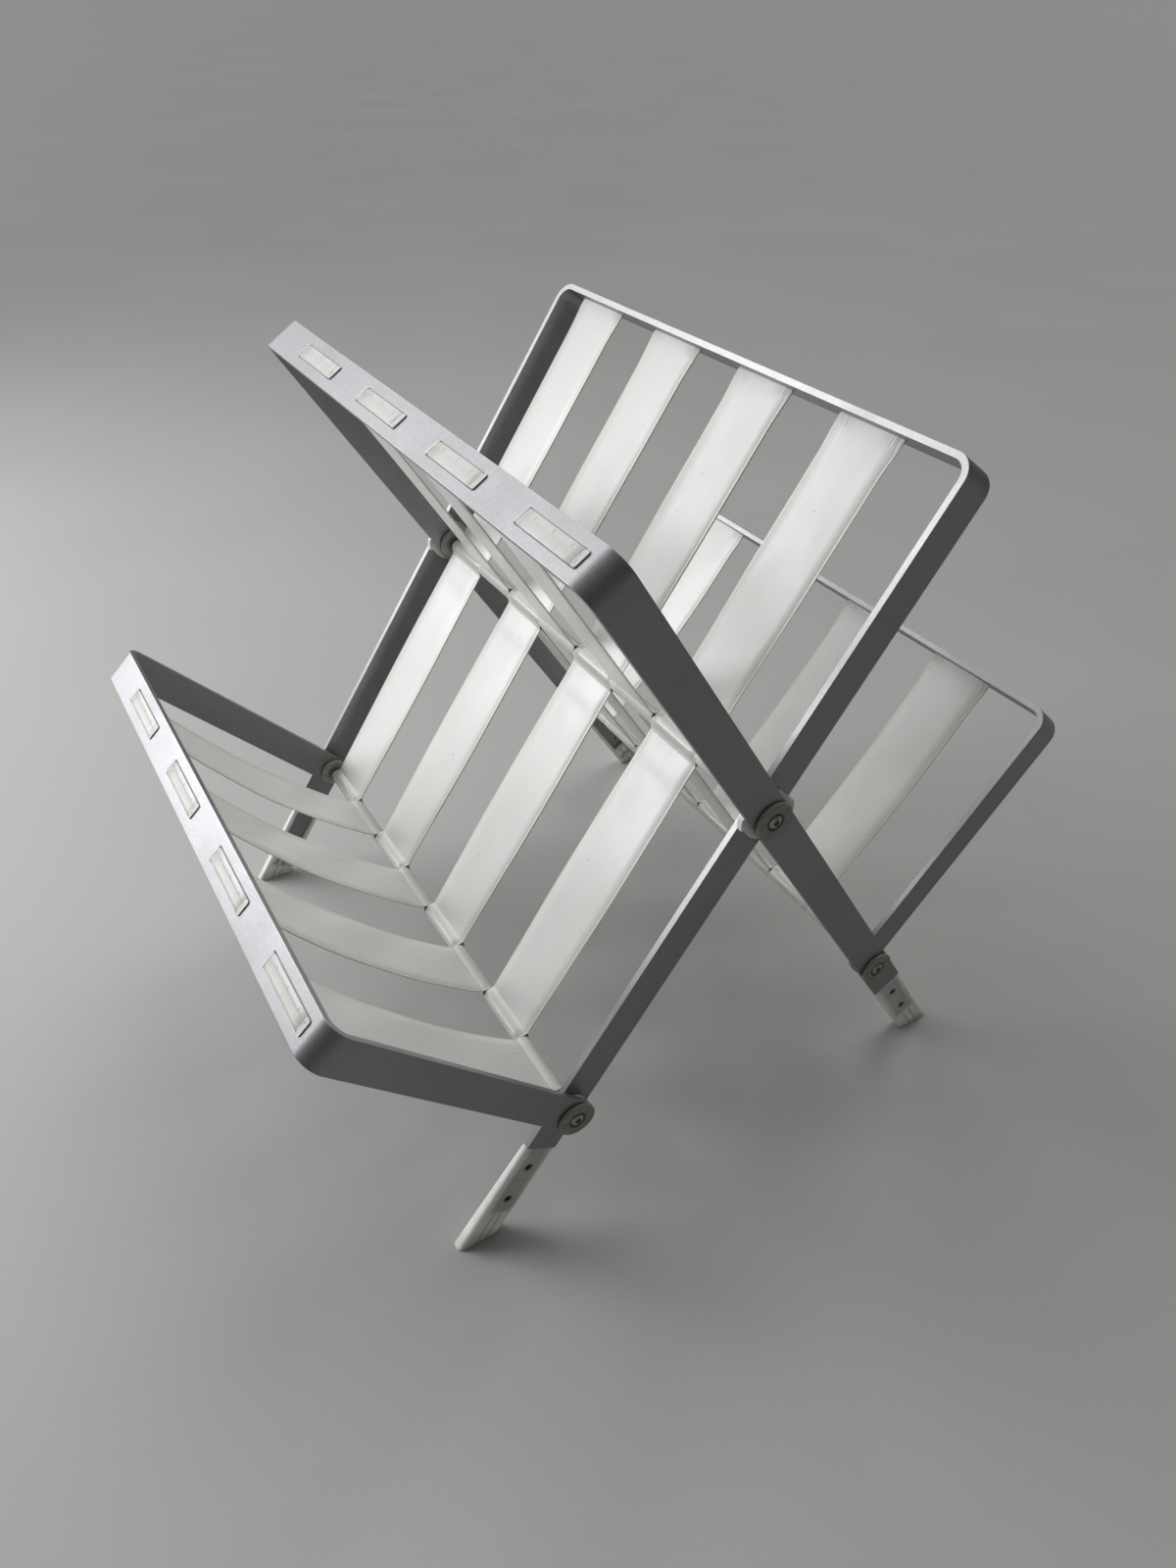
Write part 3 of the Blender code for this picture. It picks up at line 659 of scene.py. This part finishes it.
def half_gap(d):
    """Half the distance between the layers' middle surfaces, d mm past a weld."""
    return NEAR_GAP + (0.62 * math.sin(math.pi * d / 26.0) ** 2 if 0.0 < d < 26.0 else 0.0)


def weld(centre, side):
    """From the weld on the given side of a rod to where the layer meets the circle
    round it: the angle of that point, from the band's direction."""
    reach, lift = PINCH - side * centre, NEAR_GAP
    return math.degrees(math.atan2(lift, reach) + math.acos(LOOP_MID / math.hypot(reach, lift)))


def straight(u0, u1, from_a, from_b, step=3.0):
    """Points between two welds, or a weld and the slot, on the pocket side."""
    n = max(2, int((u1 - u0) / step))
    pts = []
    for k in range(1, n):
        u = u0 + (u1 - u0) * k / n
        pts.append((u, -max(half_gap(u - from_a), half_gap(from_b - u))))
    return pts


def band_path(top, low, ring):
    """(u, n, side) points of the band's middle surface, all the way round: up the
    pocket side, over the keeper, and down the back."""
    up = []
    meet = weld(SLACK, 1)
    for k in range(19):                       # the loop round the lower rod
        a = RAD(180.0 - k * (180.0 - meet) / 18)
        up.append((low + SLACK + LOOP_MID * math.cos(a), -LOOP_MID * math.sin(a)))
    line = [up[-1], (low + PINCH, -NEAR_GAP), (low + PINCH + 3.0, -half_gap(3.0))]
    up += fillet(line, 1.1, 5, closed=False)[1:]
    far = 1000.0
    if ring:
        up += straight(low + PINCH + 3.0, -PINCH - 3.0, low + PINCH, -PINCH)
        meet = weld(0.0, 1)
        line = [(-PINCH - 3.0, -half_gap(3.0)), (-PINCH, -NEAR_GAP),
                (-LOOP_MID * math.cos(RAD(meet)), -LOOP_MID * math.sin(RAD(meet)))]
        up += fillet(line, 1.1, 5, closed=False)
        for k in range(1, 12):
            a = RAD(180.0 - meet - k * (180.0 - 2 * meet) / 12)
            up.append((LOOP_MID * math.cos(a), -LOOP_MID * math.sin(a)))
        line = [(LOOP_MID * math.cos(RAD(meet)), -LOOP_MID * math.sin(RAD(meet))), (PINCH, -NEAR_GAP),
                (PINCH + 3.0, -half_gap(3.0))]
        up += fillet(line, 1.1, 5, closed=False)
        up += straight(PINCH + 3.0, top - BAR_T - 1.0, PINCH, far, 2.6)
    else:
        up += straight(low + PINCH + 3.0, top - BAR_T - 1.0, low + PINCH, far, 2.6)
    floor_u = top - WINDOW_D + 0.10 + LAYER / 2
    top_u = top + 0.62
    edge = WINDOW_H / 2 - 0.14 - LAYER / 2
    roll = [(top - BAR_T - 1.0, -NEAR_GAP), (floor_u, -NEAR_GAP), (floor_u, -edge), (top_u - 0.10, -edge),
            (top_u + 0.04, -edge * 0.62)]
    up += fillet(roll, [0, 0.42, 0.75, 0.62, 0], 5, closed=False)
    ridge = [(-2.6, 0.05), (-2.1, 0.045), (-1.75, -0.03), (-1.3, -0.05), (-0.6, -0.05), (0.0, -0.045),
             (0.8, -0.04), (1.6, -0.03), (2.2, 0.0), (2.7, 0.02)]
    pts = [(u, n, -1.0) for u, n in up]
    pts += [(top_u + h, n, -1.0 if n < 0 else 1.0) for n, h in ridge]
    pts += [(u, -n, 1.0) for u, n in reversed(up[1:])]
    return pts


def band(name, key, index, top, low, ring, bow, seed):
    rnd = random.Random(seed)
    path = band_path(top, low, ring)
    span = top - low
    yc = STRAP_Y[index]
    ph = [rnd.uniform(0, 2 * math.pi) for _ in range(6)]
    lay = [rnd.uniform(0.08, 0.24) * (1 if rnd.random() < 0.75 else -1), 0.0]
    curl = rnd.uniform(-0.15, 0.25)
    amp = 0.05 if not bow else 0.16
    twist = rnd.uniform(-0.12, 0.12) if not bow else rnd.uniform(-0.7, 0.7)

    def calm(u):
        """0 near rods and the slot, 1 in the free stretch."""
        c = smooth(14.0, 60.0, u - low) * smooth(10.0, 55.0, top - u)
        if ring:
            c *= smooth(12.0, 50.0, abs(u))
        return c

    def bend(u):
        s = min(1.0, max(0.0, (u - low) / span))
        out = bow * 4.0 * s * (1.0 - s) * smooth(0.0, 0.03, s) if bow else 0.0
        return out * smooth(-1.0, 6.0, top - BAR_T - u) * smooth(PINCH - 4.0, PINCH + 9.0, u - low)

    def width(u):
        w = 49.0 + 2.6 * smooth(0.0, 115.0, u - low)
        if ring:
            w = min(w, 49.0 + 2.6 * smooth(0.0, 115.0, abs(u)))
        if u > top - 30:
            w += 2.9 * smooth(30.0, 5.0, top - u)
        if u > top - BAR_T:
            w -= 3.2 * smooth(0.0, 2.0, u - top + BAR_T)
        return w

    half_t = LAYER / 2
    count = len(path)
    us = np.array([p[0] for p in path])
    ns = np.array([p[1] for p in path])
    closed_u = np.concatenate([us[-1:], us, us[:1]])
    closed_n = np.concatenate([ns[-1:], ns, ns[:1]])
    tu, tn = closed_u[2:] - closed_u[:-2], closed_n[2:] - closed_n[:-2]
    ln = np.hypot(tu, tn)
    tu, tn = tu / ln, tn / ln
    run_mm = np.concatenate([[0.0], np.cumsum(np.hypot(np.diff(us), np.diff(ns)))])
    verts, across_v, along_v, rim_v, slot_v, wrap_v, lid_v = [], [], [], [], [], [], []
    for i in range(count):
        u, n, side = path[i]
        w = width(u)
        e = w / 2 - half_t
        hem = e - 2.25 + half_t
        lvl = half_t - 0.15
        inner_pts = [hem - 0.3, 17.0, 12.0, 6.0, 0.0, -6.0, -12.0, -17.0, -hem + 0.3]
        section = [(e, lvl * 0.9), (hem, lvl), (hem - 0.3, half_t)]
        section += [(y, half_t) for y in inner_pts[1:-1]]
        section += [(-hem + 0.3, half_t), (-hem, lvl), (-e, lvl * 0.9)]
        section += [(-e - half_t * 0.75, half_t * 0.45), (-e - half_t, -half_t * 0.15),
                    (-e - half_t * 0.6, -half_t * 0.8)]
        section += [(-e, -half_t), (-12.0, -half_t), (0.0, -half_t), (12.0, -half_t), (e, -half_t)]
        section += [(e + half_t * 0.6, -half_t * 0.8), (e + half_t, -half_t * 0.15),
                    (e + half_t * 0.75, half_t * 0.45)]
        shift = lay[0] * side * smooth(6.0, 60.0, u - low) * (smooth(16.0, 60.0, abs(u)) if ring else 1.0)
        c = calm(u)
        b = bend(u)
        wave = c * amp * (math.sin(u / 23.0 + ph[0]) + 0.6 * math.sin(u / 11.0 + ph[1]))
        d_near = min([abs(u - low)] + ([abs(u)] if ring else []))
        gap_extra = abs(n) - NEAR_GAP if PINCH <= d_near < 40.0 and u < top - BAR_T else 0.0
        centre = low + SLACK if abs(u - low) < 12 else 0.0
        close = abs(math.hypot(u - centre, n) - LOOP_MID) < 0.12
        on_rod = 1.0 if close and (ring or abs(u - low) < 12) else 0.0
        on_lid = smooth(top - 0.6, top + 0.1, u)
        part = 0.04 * c * (0.5 + 0.5 * math.sin(u / 17.0 + ph[2] + side * 0.4)) * side
        for y, hgt in section:
            q = y / 26.0
            cup = c * curl * (q * q - 0.4)
            tw = c * twist * q
            dent = c * 0.04 * math.sin(y / 6.5 + u / 14.0 + ph[3])
            nn = n
            if 0.0 < gap_extra:               # the layers' edges are welded together
                nn = n - side * gap_extra * (abs(y) / (e + half_t)) ** 4
            nn += b + wave + part * (1.0 - q * q) + cup + tw + dent
            verts.append(((u + tn[i] * hgt) * MM, (yc + y + shift) * MM, (nn - tu[i] * hgt) * MM))
            across_v.append(y)
            along_v.append(float(run_mm[i]))
            rim_v.append(w / 2 - abs(y))
            near = smooth(11.0, 1.5, top - BAR_T - u) if u < top - BAR_T + 1 else 0.10
            slot_v.append(near * smooth(9.0, 21.0, abs(y)))
            wrap_v.append(on_rod)
            lid_v.append(on_lid)
    m = len(section)
    faces = []
    for i in range(count):
        j = (i + 1) % count
        for k in range(m):
            l = (k + 1) % m
            faces.append((i * m + k, i * m + l, j * m + l, j * m + k))
    mesh = bpy.data.meshes.new(name)
    mesh.from_pydata(verts, [], faces)
    for key_name, values in (("across", across_v), ("along", along_v), ("rim", rim_v), ("slot", slot_v),
                             ("wrap", wrap_v), ("lid", lid_v)):
        at = mesh.attributes.new(key_name, "FLOAT", "POINT")
        at.data.foreach_set("value", np.array(values, np.float32))
    bm = bmesh.new()
    bm.from_mesh(mesh)
    bmesh.ops.recalc_face_normals(bm, faces=bm.faces)
    if bm.calc_volume(signed=True) < 0:
        bmesh.ops.reverse_faces(bm, faces=bm.faces)
    bm.to_mesh(mesh)
    bm.free()
    mesh.shade_smooth()
    mesh.set_sharp_from_angle(angle=RAD(60.0))
    ob = mesh_object(name + "_band", mesh, band_material(name + "_plastic", seed * 1.37), STAND[key])
    finish_piece(ob, name, BODY[key])

    # the keeper inside the rolled end: a bobbin whose end blocks show past the band
    k0, k1 = top - WINDOW_D + 0.30, top + 0.86
    kn = WINDOW_H / 2 - 0.24
    end = width(top) / 2 + 0.18
    blocks = []
    for s in (-1, 1):
        a, b = sorted((yc + s * end, yc + s * (WINDOW_L / 2 - 0.24)))
        edge = fillet([(a, -kn), (b, -kn), (b, kn), (a, kn)],
                      [0.15, 1.3, 1.3, 0.15] if s > 0 else [1.3, 0.15, 0.15, 1.3], 5)
        blocks.append(("UNION", joined("end", [prism("end", edge, k0, k1, "X")])))
    core = fillet([(k0 + LAYER + 0.05, -kn + LAYER + 0.1), (k1 - LAYER - 0.30, -kn + LAYER + 0.1),
                   (k1 - LAYER - 0.30, kn - LAYER - 0.1), (k0 + LAYER + 0.05, kn - LAYER - 0.1)], 0.4, 3)
    base = prism(name, core, yc - end - 0.8, yc + end + 0.8, "Y")
    keeper = carved(name + "_keeper", base, blocks, 0.30, KEEPER, STAND[key], 3)
    finish_piece(keeper, None, BODY[key])
    return ob


for i in range(4):
    band("strap_a_%d" % (i + 1), "a", i, LONG_TOP, -LEG_TO_SIDE, True, 0.0, 11 + i)
    band("strap_b_%d" % (i + 1), "b", i, LONG_TOP, -LEG_TO_SIDE, True, 0.0, 21 + i)
    band("strap_left_%d" % (i + 1), "left", i, WING_TOP, 0.0, False, LEFT_BOW, 31 + i)
    band("strap_right_%d" % (i + 1), "right", i, WING_TOP, 0.0, False, RIGHT_BOW, 41 + i)


# ------------------------------------------------------------------- pivots
def along_y(pivot, side):
    turn = Matrix.Rotation(RAD(-90.0 * side), 4, "X")
    return Matrix.Translation((pivot.x, 0.0, pivot.z)) @ turn


OUT = H + STEP_Y / 2
IN = H - STEP_Y / 2 - BAR_T
PIVOT_BODY = {"center": "cross_a", "left": "cross_b", "right": "cross_a"}

for where, pivot in (("center", P0), ("left", P_LEFT), ("right", P_RIGHT)):
    body = PIVOT_BODY[where]
    bore_floor = ROD_HALF - SCREW_BORE_D
    prof = [(0.0, bore_floor), (SCREW_BORE_R, bore_floor + 1.2), (SCREW_BORE_R, ROD_HALF - 0.4),
            (SCREW_BORE_R + 0.35, ROD_HALF), (ROD_R - 0.35, ROD_HALF), (ROD_R, ROD_HALF - 0.5),
            (ROD_R, -ROD_HALF + 0.5), (ROD_R - 0.35, -ROD_HALF), (SCREW_BORE_R + 0.35, -ROD_HALF),
            (SCREW_BORE_R, -ROD_HALF + 0.4), (SCREW_BORE_R, -bore_floor - 1.2), (0.0, -bore_floor)]
    ob = turned(where + "_rod_finish", prof, 48, ALU_ROD, along_y(pivot, 1), 28.0)
    finish_piece(ob, where + "_rod", body)
    for label, side in (("near", -1), ("far", 1)):
        place = along_y(pivot, side)
        y0 = OUT + GAP
        y1 = y0 + DISC_T
        prof = fillet([(DISC_R, y1 - 0.12), (DISC_R, y0), (SCREW_BORE_R, y0), (SCREW_BORE_R, y1 - RECESS_D),
                       (RECESS_R - 0.5, y1 - RECESS_D), (RECESS_R + 0.3, y1 - 0.10), (RECESS_R + 1.6, y1)],
                      [0.75, 0.2, 0.15, 0.15, 0.30, 0.35, 1.2], 5)
        ob = turned("%s_disc_%s_finish" % (where, label), prof, 72, DISC, place, 40.0)
        finish_piece(ob, "%s_disc_%s" % (where, label), body)

        seat = y1 - RECESS_D + GAP
        tip = ROD_HALF - SCREW_BORE_D + 1.0
        dome = [(0.0, seat + 1.9)]
        head = HEAD_R - 0.5
        dome += [(head * math.sin(RAD(t)), seat + 0.40 + 1.5 * math.cos(RAD(t))) for t in range(10, 91, 10)]
        prof = dome + [(head, seat + 0.15), (head - 0.15, seat), (SHANK_R, seat), (SHANK_R, tip + 0.8),
                       (SHANK_R - 0.7, tip), (0.0, tip)]
        ob = turned("tmp_screw", prof, 48, STEEL, Matrix.Identity(4))
        bm = bmesh.new()
        bm.from_mesh(ob.data)
        bpy.data.objects.remove(ob, do_unlink=True)
        turn = random.Random(where + label).uniform(0, 60)
        socket = joined("socket", [prism("hex", hexagon(3.9, turn), seat + 0.45, seat + 4, "Z")])
        ob = carved("%s_screw_%s_finish" % (where, label), bm, [("DIFFERENCE", socket)], 0.12, STEEL,
                    place, 2, 40.0)
        finish_piece(ob, "%s_screw_%s" % (where, label), body)

        w1 = IN - GAP
        w0 = w1 - WASHER_T
        prof = fillet([(WASHER_R, w1), (WASHER_R, w0 + 0.9), (WASHER_R - 1.4, w0), (7.4, w0), (7.0, w0 + 0.6),
                       (6.2, w0 + 0.6), (5.8, w0), (BORE_R, w0), (BORE_R, w1)],
                      [0.3, 0.5, 0.5, 0.2, 0.2, 0.2, 0.2, 0.2, 0.1], 3)
        ob = turned("%s_washer_%s_finish" % (where, label), prof, 64, WASHER, place, 40.0)
        finish_piece(ob, "%s_washer_%s" % (where, label), body)

        s0 = H - STEP_Y / 2 + GAP
        s1 = H + STEP_Y / 2 - BAR_T - GAP
        if where == "center":
            ears = (arc(0, 0, STOP_R, -160, -20, 40) + arc(0, 0, STOP_EAR_R, -13, 13, 10)
                    + arc(0, 0, STOP_R, 20, 160, 40) + arc(0, 0, STOP_EAR_R, 167, 193, 10))
            bore = joined("bore", [prism("bore", circle(BORE_R, 44), s0 - 5, s1 + 5, "Z")])
            ob = carved("stop_spacer_%s_finish" % label, prism("stop", ears, s0, s1, "Z"),
                        [("DIFFERENCE", bore)], 0.35, SPACER, place, 3, 30.0)
            finish_piece(ob, "stop_spacer_" + label, body)
        else:
            prof = fillet([(SPACER_R, s1), (SPACER_R, s0), (BORE_R, s0), (BORE_R, s1)],
                          [0.4, 0.4, 0.2, 0.2], 3)
            ob = turned("%s_spacer_%s_finish" % (where, label), prof, 64, SPACER, place, 40.0)
            finish_piece(ob, "%s_spacer_%s" % (where, label), body)


# --------------------------------------------------------------------- shoes
def shoe(name, key, s):
    """s is -1 or 1: on the leg at local -Y or +Y. The outer face is level with
    the bar's, and both its long edges are well rounded."""
    place = STAND[key]
    body = BODY[key]
    top = -LEG_END - GAP
    stations = [(top, SHOE_T_TOP - 0.9, 0.45), (top - 0.7, SHOE_T_TOP - 0.3, 0.1), (top - 3.0, SHOE_T_TOP, 0.0),
                (-TONGUE_END - 10, SHOE_T_LOW - 0.6, 0.0), (None, SHOE_T_LOW, 0.0)]
    half = BAR_W / 2
    bm = bmesh.new()
    rings = []
    for u, t, lead in stations:
        outline = fillet([(-half + lead, H - lead * 0.5), (half - lead, H - lead * 0.5), (half - lead, H - t),
                          (-half + lead, H - t)], [3.0, 3.0, 1.2, 1.2], 8)
        ring = []
        for z, y in outline:
            at = u
            if u is None:                     # the level sole
                a = place @ Vector((0.0, s * y * MM, z * MM))
                b = place @ Vector((-0.1, s * y * MM, z * MM))
                at = -100.0 * a.z / (a.z - b.z)
            ring.append(bm.verts.new((at * MM, s * y * MM, z * MM)))
        rings.append(ring)
    m = len(rings[0])
    for a, b in zip(rings, rings[1:]):
        for k in range(m):
            bm.faces.new((a[k], a[(k + 1) % m], b[(k + 1) % m], b[k]))
    bm.faces.new(rings[0])
    bm.faces.new(rings[-1])
    bmesh.ops.recalc_face_normals(bm, faces=bm.faces)
    inner_wall = H - BAR_T + TONGUE_T + GAP
    hw = TONGUE_W / 2 + GAP

    def yy(a, b):
        return sorted((s * a, s * b))

    y0, y1 = yy(inner_wall, H - 20)
    cutters = [joined("channel", [block(-TONGUE_END - GAP, -LEG_END + 5, y0, y1, -hw, hw)])]
    cells = []
    for a, b in ((-hw, -3.5), (-2.3, 2.3), (3.5, hw)):
        cell = fillet([(-TONGUE_END - 18.0, a), (-TONGUE_END - 3.5, a), (-TONGUE_END - 3.5, b),
                       (-TONGUE_END - 18.0, b)], 0.9, 3)
        cells.append(prism("cell", cell, y0, y1, "Y"))
    cutters.append(joined("cells", cells))
    a, b = yy(H - 1.2, H + 5)
    c, d = yy(H - 5, H + 5)
    cutters.append(joined("heads", [drill(-x, 0, FOOT_HEAD_R + GAP, a, b, 28) for x in FOOT_HOLES]))
    cutters.append(joined("shanks", [drill(-x, 0, FOOT_SHANK_R + GAP, c, d, 20) for x in FOOT_HOLES]))
    ob = carved(name + "_finish", bm, [("DIFFERENCE", x) for x in cutters], 0.28,
                shoe_material(name + "_plastic", s), place, 2, 38.0)
    finish_piece(ob, name, body)
    for k, dist in enumerate(FOOT_HOLES):
        turn = Matrix.Rotation(RAD(-90.0 * s), 4, "X")
        at = place @ Matrix.Translation((-dist * MM, 0.0, 0.0)) @ turn
        prof = fillet([(0.0, H - 0.3), (FOOT_HEAD_R, H - 0.3), (FOOT_HEAD_R, H - 0.9),
                       (FOOT_SHANK_R, H - 0.9), (FOOT_SHANK_R, H - BAR_T - 0.4), (0.0, H - BAR_T - 0.4)],
                      [0, 0.25, 0.1, 0, 0.2, 0], 3, closed=False)
        raw = turned("tmp_screw", prof, 36, BLACK, Matrix.Identity(4))
        bm = bmesh.new()
        bm.from_mesh(raw.data)
        bpy.data.objects.remove(raw, do_unlink=True)
        socket = joined("socket", [prism("hex", hexagon(2.3, 17.0 * (k + 1)), H - 0.75, H + 2, "Z")])
        screw = carved("%s_screw_%d_finish" % (name, k + 1), bm, [("DIFFERENCE", socket)], 0.0, BLACK, at)
        finish_piece(screw, "%s_screw_%d" % (name, k + 1), body)


shoe("foot_a_near", "a", -1)
shoe("foot_a_far", "a", 1)
shoe("foot_b_far", "b", -1)
shoe("foot_b_near", "b", 1)


# --------------------------------------------------------- stage, light, camera
def floor():
    bm = bmesh.new()
    bmesh.ops.create_grid(bm, x_segments=2, y_segments=2, size=60.0)
    ob = mesh_object("studio_floor", bm_to_mesh(bm, "studio_floor"), floor_material())


floor()


def lamp(name, place, target, power, size_x, size_y, colour=(1.0, 1.0, 1.0)):
    data = bpy.data.lights.new(name, "AREA")
    data.shape = "RECTANGLE"
    data.size, data.size_y = size_x, size_y
    data.energy = power
    data.color = colour
    ob = bpy.data.objects.new(name, data)
    bpy.context.scene.collection.objects.link(ob)
    ob.location = place
    ob.rotation_euler = (Vector(target) - Vector(place)).to_track_quat("-Z", "Y").to_euler()
    return ob


# the room's light comes mostly from the left and behind, and little from the right and front
lamp("window_light", (-1.22, 1.12, 0.97), (0.0, 0.0, 0.25), 25.5, 1.0, 1.0, (0.975, 0.985, 1.0))
for name, energy, angle, colour, heading in (
        ("back_light", 0.85, 32.0, (0.985, 0.99, 1.0), (0.19, -0.75, -0.63)),
        ("top_light", 1.15, 42.0, (1.0, 0.995, 0.985), (-0.45, -0.24, -0.86))):
    data = bpy.data.lights.new(name, "SUN")
    data.energy, data.angle, data.color = energy, RAD(angle), colour
    ob = bpy.data.objects.new(name, data)
    bpy.context.scene.collection.objects.link(ob)
    ob.rotation_euler = Vector(heading).to_track_quat("-Z", "Y").to_euler()

world = bpy.data.worlds.new("studio")
world.use_nodes = True
tree = world.node_tree
back = tree.nodes["Background"]
back.inputs["Strength"].default_value = 1.0
direction = tree.nodes.new("ShaderNodeTexCoord").outputs["Generated"]
toward = tree.nodes.new("ShaderNodeVectorMath")
toward.operation = "DOT_PRODUCT"
tree.links.new(direction, toward.inputs[0])
toward.inputs[1].default_value = (-0.30, 0.42, 0.856)
sky = tree.nodes.new("ShaderNodeMapRange")
sky.interpolation_type = "SMOOTHSTEP"
for key_name, v in (("From Min", -0.30), ("From Max", 0.95), ("To Min", 0.075), ("To Max", 0.15)):
    sky.inputs[key_name].default_value = v
tree.links.new(toward.outputs["Value"], sky.inputs["Value"])
tree.links.new(sky.outputs[0], back.inputs["Color"])
bpy.context.scene.world = world


def camera():
    data = bpy.data.cameras.new("camera")
    data.sensor_width = 36.0
    data.lens = 24.784            # 1101.5 px focal length on a 1600 px high picture
    data.clip_start, data.clip_end = 0.02, 200.0
    ob = bpy.data.objects.new("camera", data)
    bpy.context.scene.collection.objects.link(ob)
    a, e, ro = RAD(32.6028), RAD(37.4809), RAD(1.9161)
    ahead = Vector((math.sin(a) * math.cos(e), math.cos(a) * math.cos(e), -math.sin(e)))
    right = Vector((math.cos(a), -math.sin(a), 0.0))
    above = right.cross(ahead)
    r2 = right * math.cos(ro) + above * math.sin(ro)
    u2 = -right * math.sin(ro) + above * math.cos(ro)
    m = Matrix((r2, u2, -ahead)).transposed().to_4x4()
    m.translation = Vector((P0.x - 0.3520, -0.5680, P0.z + 0.3937))
    ob.matrix_world = m
    bpy.context.scene.camera = ob


camera()
scene = bpy.context.scene
scene.view_settings.view_transform = "Standard"
